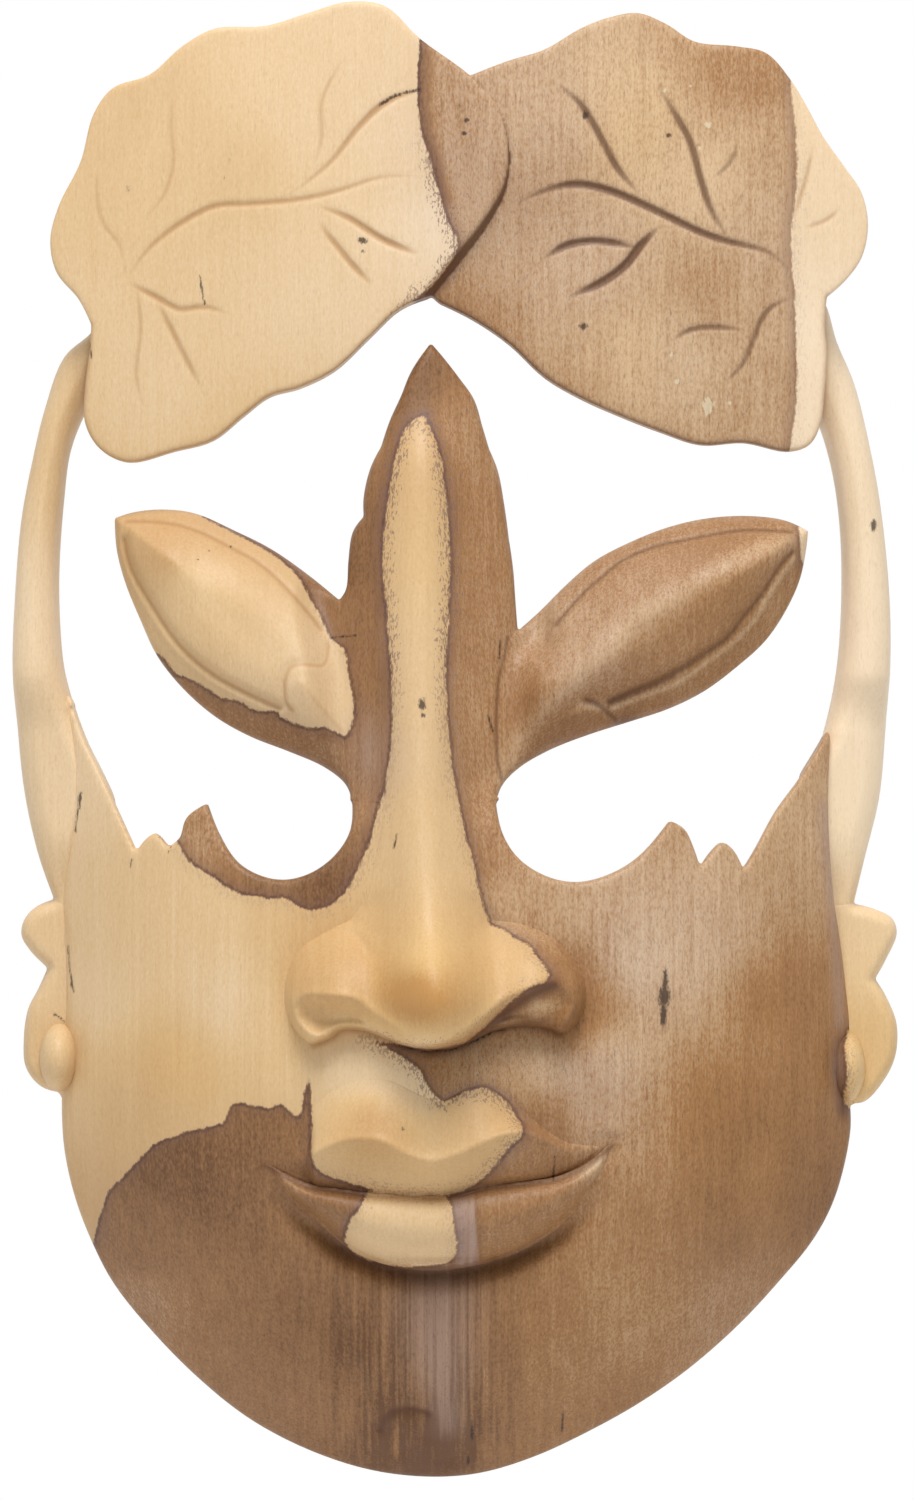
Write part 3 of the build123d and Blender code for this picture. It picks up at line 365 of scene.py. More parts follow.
# Plans and profiles
def smooth(points, steps=5):
    """A smooth line through the points."""
    p = np.array(points, float)
    if len(p) == 2:
        return p
    t = np.concatenate([[0], np.cumsum(np.sqrt(np.hypot(*np.diff(p, axis=0).T)))])
    dt = np.diff(t)[:, None]
    slope = np.diff(p, axis=0) / dt
    m = np.empty_like(p)
    m[1:-1] = (slope[:-1] * dt[1:] + slope[1:] * dt[:-1]) / (dt[1:] + dt[:-1])
    m[0] = 1.5 * slope[0] - 0.5 * m[1]
    m[-1] = 1.5 * slope[-1] - 0.5 * m[-2]
    u = np.linspace(0, 1, steps, endpoint=False)[None, :, None]
    p0, p1 = p[:-1, None], p[1:, None]
    m0, m1 = m[:-1, None] * dt[:, None], m[1:, None] * dt[:, None]
    q = (2 * u**3 - 3 * u**2 + 1) * p0 + (u**3 - 2 * u**2 + u) * m0
    q = q + (3 * u**2 - 2 * u**3) * p1 + (u**3 - u**2) * m1
    return np.concatenate([q.reshape(-1, 2), p[-1:]])


def closed(runs, steps=5):
    """The points of a closed outline, from its runs."""
    return np.concatenate([smooth(run, steps)[:-1] for run in runs])


XS = np.arange(-109, 109.01, GRID_STEP)
HS = np.arange(-8, 350.01, GRID_STEP)
X, H = np.meshgrid(XS, HS, indexing="ij")
FAR = 60.0


def window(points, margin):
    """The part of the grid that lies near the points."""
    (x0, h0), (x1, h1) = points.min(0) - margin, points.max(0) + margin
    i = np.searchsorted(XS, [x0, x1])
    j = np.searchsorted(HS, [h0, h1])
    return slice(i[0], i[1]), slice(j[0], j[1])


def distance(points, margin=14.0, share=False, kept=None):
    """Distance to a line on the grid, and on request how far along it the nearest place is, from 0 to 1."""
    w = window(points, margin)
    x, h = X[w], H[w]
    best = np.full(x.shape, FAR**2)
    along = np.zeros(x.shape)
    lengths = np.hypot(*np.diff(points, axis=0).T)
    done = np.concatenate([[0], np.cumsum(lengths)]) / lengths.sum()
    for i, ((ax, ah), (bx, bh)) in enumerate(zip(points[:-1], points[1:])):
        if kept is not None and not kept[i]:
            continue
        ux, uh = bx - ax, bh - ah
        t = np.clip(((x - ax) * ux + (h - ah) * uh) / max(ux * ux + uh * uh, 1e-9), 0, 1)
        d = (x - ax - t * ux) ** 2 + (h - ah - t * uh) ** 2
        near = d < best
        best = np.where(near, d, best)
        if share:
            along = np.where(near, done[i] + t * (done[i + 1] - done[i]), along)
    out = np.full(X.shape, FAR)
    out[w] = np.sqrt(best)
    if not share:
        return out
    full = np.zeros(X.shape)
    full[w] = along
    return out, full


def signed(points, margin=14.0):
    """Distance to a closed outline, negative inside it."""
    points = np.concatenate([points, points[:1]])
    out = distance(points, margin)
    w = window(points, margin)
    x, h = X[w], H[w]
    inside = np.zeros(x.shape, bool)
    for (ax, ah), (bx, bh) in zip(points[:-1], points[1:]):
        if ah != bh:
            cross = (ah > h) != (bh > h)
            inside ^= cross & (x < (bx - ax) * (h - ah) / (bh - ah) + ax)
    out[w] = np.where(inside, -out[w], out[w])
    return out


def hump(offset, width):
    """A soft ridge, 1 where the offset is 0."""
    return np.exp(-((offset / width) ** 2))


def spot(x, h, half_width, half_height, lean=0):
    """A soft round or oval patch, 1 at its centre, which shifts across by lean for each unit up."""
    return np.exp(-(((X - x - lean * (H - h)) / half_width) ** 2 + ((H - h) / half_height) ** 2))


def step(value, low, high):
    t = np.clip((value - low) / (high - low), 0, 1)
    return t * t * (3 - 2 * t)


def profile(value, table):
    """A smooth curve through a table of (value, height)."""
    curve = smooth(table, 8)
    return np.interp(value, curve[:, 0], curve[:, 1])


def smax(a, b, k):
    """The greater of two fields, with a rounded corner of about radius k."""
    return np.maximum(a, b) + np.maximum(k - np.abs(a - b), 0) ** 2 / (4 * k)


def quarter(t, radius):
    """A quarter round: 0 at the edge and 1 from radius inwards."""
    return np.sqrt(1 - (1 - np.clip(t / radius, 0, 1)) ** 2)


def blurred(field, passes=2):
    for _ in range(passes):
        f = np.pad(field, 1, mode="edge")
        field = (f[:-2, 1:-1] + 2 * f[1:-1, 1:-1] + f[2:, 1:-1]) / 4
        f = np.pad(field, 1, mode="edge")
        field = (f[1:-1, :-2] + 2 * f[1:-1, 1:-1] + f[1:-1, 2:]) / 4
    return field


def sample(field, x, h):
    """A grid field at any places, read between the grid's points."""
    i = np.clip((x - XS[0]) / GRID_STEP, 0, len(XS) - 1.001)
    j = np.clip((h - HS[0]) / GRID_STEP, 0, len(HS) - 1.001)
    a, b = i.astype(int), j.astype(int)
    u, v = i - a, j - b
    low = field[a, b] * (1 - v) + field[a, b + 1] * v
    high = field[a + 1, b] * (1 - v) + field[a + 1, b + 1] * v
    return low * (1 - u) + high * u


PLANS = {name: closed(runs) for name, runs in {
    "left_crown_leaf": LEFT_LEAF, "right_crown_leaf": RIGHT_LEAF, "left_side_arm": LEFT_ARM,
    "right_side_arm": RIGHT_ARM, "left_ear": LEFT_EAR, "right_ear": RIGHT_EAR, "face_shell": FACE,
    "left_eye_pod": LEFT_POD, "right_eye_pod": RIGHT_POD, "brow_leaf": BROW_LEAF, "nose": NOSE,
    "upper_lip": UPPER_LIP, "lower_lip": LOWER_LIP}.items()}
s = {name: signed(plan) for name, plan in PLANS.items()}


def union(*names):
    """Distance to the joined outline of several plans, negative inside it. Their shared edges don't count."""
    far = np.full(X.shape, FAR)
    nearest = np.minimum.reduce([s[name] for name in names])
    for name in names:
        ring = np.concatenate([PLANS[name], PLANS[name][:1]])
        middle = (ring[:-1] + ring[1:]) / 2
        kept = np.ones(len(middle), bool)
        for other in names:
            if other != name:
                kept &= sample(s[other], middle[:, 0], middle[:, 1]) > 0.45
        far = np.minimum(far, distance(ring, 22.0, kept=kept))
    return np.where((nearest < 0) | ((nearest < 0.2) & (far > 0.5)), -far, far)


# Front surfaces
out = np.hypot(X / HALF_WIDTH, (H - WIDEST_H) / WIDEST_H)
low_dome = RIM_D + RISE_D * (1 - np.minimum(out, 1.05) ** ROUNDNESS)
sink = 1 - BRIDGE_SINK * ((H - WIDEST_H) / (BRIDGE_H - WIDEST_H)) ** 2
high_dome = RIM_D + RISE_D * (1 - np.minimum(np.abs(X / HALF_WIDTH), 1.05) ** ROUNDNESS) * sink
plain_dome = np.where(H < WIDEST_H, low_dome, high_dome)
plain_brow = BRIDGE_D - BROW_LEAN * (H - BRIDGE_H) - BROW_FLANK * (X - RIDGE_X) ** 2

to_lip_bottom = distance(smooth(LIP_BOTTOM))
below_lip = np.clip(s["lower_lip"], 0, FAR)
dome = plain_dome + 3.5 * hump(np.hypot((X + 4) / 1.1, H - 24), 17)
dome = dome - 2.2 * hump(np.hypot((X + 4) / 1.5, H - 44), 11)
dome = dome - 5.4 * hump(below_lip - 0.8, 3.2) * step(-H, -70, -54)
dome = dome - 1.4 * hump(distance(smooth(CHIN_ARC)), 0.9)
boss = spot(-9, 8, 9, 8.5)
dome = dome + 1.2 * boss
behind_nose = dome
dome = dome + 6 * hump(np.hypot((X + 6) / 1.7, H - 90), 15) * step(-H, -128, -108)
dome = dome - 0.5 * spot(-8, 96, 5, 6)
dome = dome + 1.2 * hump(np.hypot(X + 3, H - 90), 7)
right_end = step(X, 13, 27)
beside_parting = hump(distance(smooth(LIP_PARTING)) * (s["lower_lip"] > 0), 4) * (s["upper_lip"] < 3)
dome = dome - right_end * beside_parting

RIDGE_RISE = [(80, 5), (85, 8), (100, 19), (106, 24.5), (112, 26.5), (118, 24.5), (126, 18), (138, 12),
              (155, 9), (190, 6.5), (232, 5), (246, 1.2), (262, 0.4), (270, 0)]
RIDGE_WIDTH = [(90, 15), (112, 14), (125, 11.5), (140, 9.5), (160, 8.5), (230, 8), (262, 6)]
RIDGE_CENTRE = [(90, -5), (112, -5), (130, -6.5), (150, -7.8), (180, -8.6), (262, -8.2)]
ridge = profile(H, RIDGE_RISE) * hump(X - profile(H, RIDGE_CENTRE), profile(H, RIDGE_WIDTH))
on_brow = step(H, 149, 163) * (1 - step(np.abs(X + 7.5), 27, 38))
base = dome + (plain_brow - dome) * on_brow
under = base + ridge * step(H, 124, 137)

# Nose
nose_in = np.maximum(-s["nose"], 0)
under_nose = signed(closed(NOSTRIL_DISH))
above_edge = np.maximum(under_nose, 0)
wings = 13.5 * hump(X + 26.5, 12.5) * hump(H - 111, 14.5) + 13.5 * hump(X - 16.5, 12.5) * hump(H - 112, 14.5)
bulk = (ridge**2.2 + wings**2.2) ** (1 / 2.2)
bulk = bulk + 0.7 * hump(above_edge, 1.2) * (under_nose > -0.5) - 0.7 * hump(distance(smooth(WING_FOLD)), 1.1)
radius = 2 + 6 * step(above_edge, 0, 8) * step(H, 104, 112)
clip = quarter(nose_in, radius)
clip = clip + (1 - clip) * step(H, 128, 142)
dish = np.clip(-under_nose / 3, 0, 1)
bulk = bulk * (1 - dish * (0.22 + 0.3 * step(-H, -114, -103)))
nose_base = behind_nose + (base - behind_nose) * step(H, 112, 128)
nose_front = np.where(H < 142, nose_base + np.maximum(bulk * clip, 0), under)
nose_front = np.maximum(nose_front, nose_base + ridge * step(H, 124, 137) * (nose_in > 0))
nose_front = nose_front + 0.35 * np.minimum(nose_in, 1) - 0.6 * np.clip(s["nose"], 0, 1)

# Lips
middle = np.clip(1 - ((X + 5) / 42) ** 2, 0, 1)
to_parting = distance(smooth(LIP_PARTING))
to_crease = distance(smooth(LIP_CREASE))
to_lip_top = distance(smooth(LIP_TOP))
crease_zone = signed(np.concatenate([smooth(LIP_CREASE), smooth(LIP_PARTING)]))
upper = to_lip_top / np.maximum(to_lip_top + to_crease, 0.5)
lower = 1 - 0.72 * to_crease / np.maximum(to_crease + to_parting, 0.5)
upper_rise = np.where(crease_zone < 0, lower, upper ** (1.15 + step(X, 4, 16)))
upper_rise = 9 * middle**0.8 * (1 - 0.7 * right_end) * upper_rise
upper_rise = upper_rise + 0.5 * hump(to_crease, 0.8) * middle
upper_rise = upper_rise - 2.4 * step(-X, 32.6, 33.6) * step(-H, -92, -84)
upper_front = dome + np.maximum(upper_rise, 0.1) - 1.2 * hump(to_parting, 0.9)
part = to_parting / np.maximum(to_parting + to_lip_bottom, 0.5)
roll = np.sin(np.pi * np.clip(0.12 + 0.88 * part, 0, 1)) ** 0.7
lower_front = plain_dome + 8 * middle**0.8 * roll - 2.2 * part**3 - 1.2 * hump(to_parting, 0.9)
upper_front = upper_front - 0.8 * np.clip(s["upper_lip"], 0, 1)
lower_front = lower_front - 0.8 * np.clip(s["lower_lip"], 0, 1)


# Eye pods
def pod_surface(name, tip, root, seam, crest, crest_rise, rims, body_loop, relief_end, calyx):
    """A pod with a rounded body between two rims, a crest along it, and a root that blends into the brow."""
    length = math.dist(tip, root)
    ax, ah = (root[0] - tip[0]) / length, (root[1] - tip[1]) / length
    along = ((X - tip[0]) * ax + (H - tip[1]) * ah) / length
    inner = np.maximum(-union(name, "brow_leaf", "face_shell"), 0)
    front = POD_TIP_D + (POD_ROOT_D - POD_TIP_D) * along - 6 + 10 * (1 - (1 - np.minimum(inner / 17, 1)) ** 2)
    body = signed(np.concatenate(body_loop))
    to_upper, to_lower = distance(smooth(rims[0])), distance(smooth(rims[1]))
    lower_side = step(to_upper - to_lower, -12, 12)
    before_root = 1 - step(along, relief_end - 0.15, relief_end)
    front = front + (0.3 + 0.9 * lower_side) * step(-body, -0.2, 2) * before_root
    front = front - 0.7 * hump(np.minimum(to_upper, to_lower), 0.5)
    front = front + 0.7 * hump(to_lower - 1.4, 0.7) * (body > 0)
    front = front + crest_rise * hump(distance(smooth(crest)), 6.5)
    front = front + calyx
    blend = step(distance(smooth(seam)), 0, 11)
    return under + (front - under) * blend


in_calyx = -signed(np.concatenate([smooth(LEFT_CALYX), [(-36, 172), (-24, 170), (-23, 192)]]))
left_calyx = 0.9 * step(in_calyx, -0.3, 0.5) + 0.9 * np.exp(-distance(smooth(LEFT_CREASE)) / 2.5)
left_body = [smooth(LEFT_RIMS[0]), smooth(LEFT_CALYX), smooth(LEFT_RIMS[1])[::-1]]
left_pod_front = pod_surface("left_eye_pod", LEFT_POD_TIP, LEFT_POD_ROOT, LEFT_POD_SEAM, LEFT_CREST, 0.8,
                             LEFT_RIMS, left_body, 1.2, left_calyx)
right_calyx = 1.3 * step(4 - np.hypot((X - 30.5) / 1.5, H - 174), -0.6, 0.8)
right_calyx = right_calyx - 0.8 * hump(distance(smooth(RIGHT_LOBE)), 0.7)
right_body = [smooth(RIGHT_RIMS[0]), smooth(RIGHT_RIMS[1]), [(30, 180.5), (24, 185)]]
right_pod_front = pod_surface("right_eye_pod", RIGHT_POD_TIP, RIGHT_POD_ROOT, RIGHT_POD_SEAM[::-1],
                              RIGHT_CREST, 2.2, RIGHT_RIMS, right_body, 0.78, right_calyx)

# Crown, arms, ears and studs
crown = CROWN_D - 8 * (X / 95) ** 2 - 2 * ((H - 290) / 45) ** 2
crown = crown + 0.12 * np.sin(X / 9 + 0.6) * np.cos(H / 12 - 0.4)
vein_cut = np.zeros(X.shape)
line_shade = np.zeros(X.shape)
for start, end, points in VEINS:
    d, along = distance(smooth(points), 8, share=True)
    taper = 0.15 + 0.85 * np.sqrt(step(along, 0, 0.3) * step(1 - along, 0, 0.3))
    half = (0.16 + 0.6 * (start + (end - start) * along)) * taper
    vein_cut = np.maximum(vein_cut, 1.3 * np.maximum(half - d, 0))
    shade = np.clip((half + 0.25 - d) / 0.4, 0, 1) * np.minimum(0.2 + 1 * half, 1)
    line_shade = np.maximum(line_shade, shade)
crown = crown - vein_cut
left_leaf_in = np.maximum(-s["left_crown_leaf"], 0)
left_leaf_front = crown - 0.35 * (1 - np.minimum(left_leaf_in / 1.5, 1)) ** 2
lap_edge = distance(smooth(LEFT_LEAF[0][16:]), 40)
lap_share = 1 - step(H, 278, 314)
drop = 0.4 + 3 * lap_share * hump(lap_edge, 30)
bevel = np.clip(1 - lap_edge / (0.3 + 2 * lap_share), 0, 1) * (lap_share > 0) * (s["left_crown_leaf"] < 0.5)
left_leaf_front = left_leaf_front - drop * bevel
right_leaf_in = np.maximum(-union("right_crown_leaf", "left_crown_leaf"), 0)
right_leaf_front = crown - drop - 0.35 * (1 - np.minimum(right_leaf_in / 1.5, 1)) ** 2
right_leaf_front = np.where(s["left_crown_leaf"] < -1.6, LAP_D, right_leaf_front)
left_leaf_back = np.where(s["right_crown_leaf"] < 0, LAP_D, ARM_D)

ears_in = np.maximum(-union("left_ear", "right_ear", "face_shell", "left_side_arm", "right_side_arm"), 0)
ear_front = 7 + 5 * quarter(ears_in, 3)


def arm_surface(name, seam):
    """A rounded bar, which falls away from the face where it runs beside it."""
    inner = np.maximum(-union(name, "face_shell"), 0)
    bar = 9 + 7 * quarter(inner, 7)
    beside = step(-H, -186, -172)
    fall = 0.38 * distance(smooth(seam), 30) * beside
    front = np.minimum(bar, 15.6) - np.minimum(fall, 5)
    return front + (ear_front - front) * step(-H, -150, -133)


left_arm_front = arm_surface("left_side_arm", LEFT_ARM[2])
right_arm_front = arm_surface("right_side_arm", RIGHT_ARM[2])


# Colour fields
def pale_field():
    """Distance to the pale wood, negative inside it."""
    nose_runs = [smooth(run) for run in NOSE[:2]] + [smooth(NOSE_BASE)[:8]]
    right = np.array(PALE_NOSE_RIGHT[::-1], float)
    strip = [p for p in smooth(NOSE[4]) if p[1] > 139]
    pale_nose = np.concatenate(nose_runs + [right, np.array(strip)])
    outlines = [PALE_CHEEK, PALE_LIP, PALE_POD, PALE_STUD_RIGHT, PALE_CROWN_LEFT, PALE_CROWN_RIGHT]
    fields = [signed(smooth(list(p) + [p[0]], 3)[:-1], 30) for p in outlines]
    fields.append(signed(pale_nose, 30))
    return np.minimum.reduce(fields)


def tone_field(places):
    """Values at a few places, spread smoothly between them."""
    total, weights = np.zeros(X.shape), np.zeros(X.shape)
    for x, h, value in places:
        w = 1 / ((X - x) ** 2 + (H - h) ** 2 + 30) ** 1.6
        total += w * value
        weights += w
    return total / weights


knots = [spot(*place) for place in KNOTS] + [0.48 * spot(*place) for place in FAINT_KNOTS]
knots += [0.8 * hump(distance(np.array(points, float), 6), 0.35) for points in CRACKS_AND_UNDERCUT_SHADE]
knots.append(0.75 * hump(distance(smooth(DARK_VEIN_END)), 0.6))

# Dark lines along the carved rims and a crack, and painted shade in the slit between the lips, under the
# nose, along the nostril edge, in the chin arc and the lobe notch, and on the leaves' down-facing lower edges
DARK_LINES_AND_SHADE = [  # a line, how dark it is, and its width
    (LEFT_RIMS[0], 0.75, 0.45), (LEFT_RIMS[1], 0.85, 0.45), (RIGHT_RIMS[0], 0.75, 0.4),
    (RIGHT_RIMS[1], 0.8, 0.45), (LEFT_CALYX, 0.7, 0.4), (LEFT_CREASE, 0.3, 0.5), (RIGHT_LOBE, 0.8, 0.6),
    (SEAM_CRACK, 0.8, 0.4), (CHIN_ARC, 1, 0.9), (NOSTRIL_EDGE, 1, 1.6), (LIP_PARTING, 0.8, 0.7),
    (NOSE_BASE, 0.8, 1), (LEFT_LEAF[1], 0.6, 0.8), (RIGHT_LEAF[1], 0.6, 0.8)]
# Painted shade, as (how dark, x, h, half width, half height): in the notch beside the right pod's lobe, under
# the right stud, in the right nostril and under the chin's boss
PAINTED_SHADE_SPOTS = [(0.95, 39, 173, 2.4, 3.2), (0.8, 89, 85.5, 1.3, 3), (0.8, 17, 106.3, 7, 1.3),
              (0.6, -4, 3.5, 8, 2)]
shades = [strength * hump(distance(smooth(line)), width) for line, strength, width in DARK_LINES_AND_SHADE]
shades.append(line_shade)
shades += [strength * spot(*place) for strength, *place in PAINTED_SHADE_SPOTS]
# Painted shade on the left leaf's bevelled side wall along its lap edge
shades.append(step(bevel, 0.05, 0.3) * (s["left_crown_leaf"] < 0))
# Painted shadow in the groove under the lower lip
shades.append(0.75 * hump(below_lip - 0.9, 1.7) * step(-H, -62, -52) * (s["lower_lip"] > -0.5))
# Painted shade in the groove along the right pod's lower rim, darker and wider towards the root
rim_line, rim_share = distance(smooth(RIGHT_RIMS[1]), share=True)
shades.append((0.2 + 0.8 * rim_share) * hump(rim_line, 0.4 + 0.6 * rim_share))
# Painted shade over the chin's boss, left off along its pale streak
shades.append(0.5 * boss * (1 - 0.9 * hump(X + 14.3, 1)))
stripe = X - 1.6 - 0.07 * (60 - H)
shades.append(0.5 * hump(stripe - 3.3, 0.4) * (s["lower_lip"] < 0))

SIDE_MAUVE = [(84.5, 155), (86, 140), (87.5, 125), (88.5, 105)]
widening = step(H, 12, 40)
mauve = [0.95 * step(3 - np.abs(stripe), 0, 0.7) * step(H, 49, 52) * step(-H, -68, -65),
         0.65 * hump(X + 2.4 + 1.6 * widening, 3.5 + 5 * widening) * step(H, 8, 14) * step(-H, -52, -46),
         0.6 * hump(distance(smooth(SIDE_MAUVE)), 1.8), 0.8 * spot(87.6, 95, 1.8, 6),
         0.5 * spot(-20, 168, 3.5, 8)]

HEART_SPOTS = [(0.4, 20, 110, 4, 2), (0.3, 31, 178, 3.4, 1), (0.35, -14.3, 8, 0.9, 5, 0.1),
               (-0.17, -21.4, 26, 7, 16, -0.35), (-0.1, 10, 26, 5, 14)]
CROWN_BORDER = [(-8.5, 331), (-9, 319.5), (-8.5, 310.5), (-6, 302.5), (-4, 294.5)]
heart_tone = tone_field(HEART_TONES) + sum(change * spot(*place) for change, *place in HEART_SPOTS)
# Painted highlight along the right pod's rim bead
heart_tone = heart_tone + 0.3 * hump(distance(smooth(RIGHT_BEAD_HIGHLIGHT)), 0.6)
# Painted highlight along the right pod's crest
heart_tone = heart_tone + 0.2 * hump(distance(smooth(RIGHT_CREST)), 3)
lip_ends = 0.35 * spot(30.5, 74, 5, 3.5) + 0.25 * spot(-37, 69.5, 5, 3)
heart_tone = heart_tone + lip_ends * (s["lower_lip"] < 0)
heart_tone = heart_tone - 0.5 * hump(distance(smooth(CROWN_BORDER)), 2.5)
streak = 0.22 + 1.5 * hump(X + 7, 18) * step(-H, -56, -48) * step(H, -2, 8) + 0.5 * spot(-50, 115, 32, 26)
# The "line" field holds dark lines and painted shade; the "knot" field holds knots, cracks and a painted
# shade line under the nose; "heart_tone" holds painted highlights on the right pod
FIELDS = {"heart": pale_field(), "heart_tone": heart_tone, "sap_tone": tone_field(SAP_TONES),
          "warmth": tone_field(WARMTH), "wax": np.maximum.reduce([spot(*place) for place in WAX]),
          "knot": np.maximum.reduce(knots), "line": np.maximum.reduce(shades),
          "mauve": np.maximum.reduce(mauve), "streak": streak,
          "dots": tone_field([(x, h, dots) for x, h, dots, _ in BORDER]),
          "rim": tone_field([(x, h, rim) for x, h, _, rim in BORDER])}
ALL_PALE = ("arm", "ear", "left_ear_stud")
pale_pod_tip = signed(closed([PALE_POD_TIP + PALE_POD_TIP[:1]]), 30)


# Meshes
def surface_nets(field, origin, voxel):
    """A closed quad mesh where the field is 0. Solid is where it is negative."""
    inside = field < 0
    dims = np.array(field.shape)
    ids, points, faces = [], [], []
    flat = np.array([dims[1] * dims[2], dims[2], 1])
    for axis in range(3):
        n = dims[axis] - 1
        low = np.take(inside, np.arange(n), axis)
        high = np.take(inside, np.arange(1, n + 1), axis)
        edge = np.argwhere(low != high)
        unit = np.eye(3, dtype=int)[axis]
        a = field[tuple(edge.T)]
        b = field[tuple((edge + unit).T)]
        place = edge + (a / (a - b))[:, None] * unit
        u, v = np.eye(3, dtype=int)[(axis + 1) % 3], np.eye(3, dtype=int)[(axis + 2) % 3]
        ring = [(edge - i * u - j * v) @ flat for i, j in ((0, 0), (1, 0), (1, 1), (0, 1))]
        quads = np.stack(ring, 1)
        quads[a > 0] = quads[a > 0][:, ::-1]
        faces.append(quads)
        ids.append(np.concatenate(ring))
        points.append(np.tile(place, (4, 1)))
    ids, points, faces = np.concatenate(ids), np.concatenate(points), np.concatenate(faces)
    used, index = np.unique(ids, return_inverse=True)
    count = np.bincount(index)
    vertices = np.stack([np.bincount(index, points[:, k]) / count for k in range(3)], 1)
    return origin + vertices * voxel, np.searchsorted(used, faces)


def relaxed(vertices, faces, rounds=2):
    """The same mesh with its small steps evened out, and its size kept."""
    a, b = faces.ravel(), np.roll(faces, -1, 1).ravel()
    count = (np.bincount(a) + np.bincount(b))[:, None]
    for weight in (0.5, -0.52) * rounds:
        total = [np.bincount(a, vertices[b, k]) + np.bincount(b, vertices[a, k]) for k in range(3)]
        vertices = vertices + weight * (np.stack(total, 1) / count - vertices)
    return vertices


def slope(field):
    gx, gh = np.gradient(field, GRID_STEP)
    return np.sqrt(1 + gx**2 + gh**2)


def carve(name, outline, front, back, free, round_front=1.6, round_back=1.0, hollow=None, voxel=FINE,
          fixed_lap=SEAM_LAP):
    """A closed mesh between a back and a front surface, rounded along its free edges."""
    lapped = SEAM_DIP * np.clip(outline / 0.8, 0, 1)
    front = blurred(front, 2) - lapped
    back = back + lapped
    keep = outline < fixed_lap + 1
    x_in, h_in = XS[keep.any(1)], HS[keep.any(0)]
    pad = 3 * voxel
    xs = np.arange(x_in[0] - pad, x_in[-1] + pad, voxel)
    hs = np.arange(h_in[0] - pad, h_in[-1] + pad, voxel)
    low, high = back[keep].min(), front[keep].max()
    ds = np.arange(low - pad, high + pad, voxel)
    x, h = np.meshgrid(xs, hs, indexing="ij")

    def layer(field):
        return sample(field, x, h).astype(np.float32)[:, :, None]

    d = ds.astype(np.float32)[None, None, :]
    own, open_edge = layer(outline), layer(free)
    top = (d - layer(front)) / layer(slope(front))
    bottom = (layer(back) - d) / layer(slope(back))
    field = smax(smax(top, open_edge, round_front), smax(bottom, open_edge, round_back), 0.4)
    if hollow is not None:
        plan, ceiling = hollow
        cut = np.maximum(layer(plan), (d - layer(ceiling)) / layer(slope(ceiling)))
        field = smax(field, -cut, 1.2)
    field = np.maximum(field, own - fixed_lap)
    vertices, faces = surface_nets(field, np.array([xs[0], hs[0], ds[0]]), voxel)
    vertices = relaxed(vertices, faces)
    vertices[:, 1:] = np.maximum(vertices[:, 1:], 0.02)
    return add_mesh(name, vertices, faces, sample(front, vertices[:, 0], vertices[:, 1]) - vertices[:, 2])


def add_mesh(name, vertices, faces, depth):
    """An object from (x, h, d) points in millimetres, with the colour fields on its points.

    The dark lines and painted shade, the knots and wax are only on the front, where the depth below the front
    surface is small.
    """
    x, h = vertices[:, 0], vertices[:, 1]
    on_front = np.clip((4 - depth) / 2, 0, 1)
    places = np.stack([x, -vertices[:, 2], h], 1) / 1000
    places[:, 2] += CHIN_Z
    mesh = bpy.data.meshes.new(name)
    mesh.vertices.add(len(places))
    mesh.vertices.foreach_set("co", places.astype(np.float32).ravel())
    mesh.loops.add(faces.size)
    mesh.loops.foreach_set("vertex_index", faces.astype(np.int32).ravel())
    mesh.polygons.add(len(faces))
    mesh.polygons.foreach_set("loop_start", np.arange(0, faces.size, 4, dtype=np.int32))
    mesh.update(calc_edges=True)
    mesh.polygons.foreach_set("use_smooth", np.ones(len(faces), bool))
    for field_name, field in FIELDS.items():
        values = sample(field, x, h)
        if field_name == "heart":
            values = np.minimum(values, sample(pale_pod_tip, x, h) + 10 * (1 - on_front))
        if field_name == "heart" and name.endswith(ALL_PALE):
            values[:] = -10
        if field_name in ("line", "knot", "wax"):
            values = values * on_front
        attribute = mesh.attributes.new(field_name, "FLOAT", "POINT")
        attribute.data.foreach_set("value", values.astype(np.float32))
    made = bpy.data.objects.new(name, mesh)
    bpy.context.scene.collection.objects.link(made)
    return made


angles = np.linspace(math.pi, 2 * math.pi, 40)
inner_x, inner_h = HALF_WIDTH - RIM_WIDTH, WIDEST_H - RIM_WIDTH
plan = np.stack([inner_x * np.cos(angles), WIDEST_H + inner_h * np.sin(angles)], 1)
plan = np.concatenate([plan, [(inner_x, HOLLOW_TOP_H), (-inner_x, HOLLOW_TOP_H)]])
hollow_plan = signed(plan, 40.0)
flat = np.zeros(X.shape)
body = union("face_shell", "brow_leaf", "left_eye_pod", "right_eye_pod", "left_side_arm", "right_side_arm",
             "left_ear", "right_ear")
crown_free = union("left_crown_leaf", "right_crown_leaf")


def pod_back(front):
    return blurred(front, 12) - POD_THICK


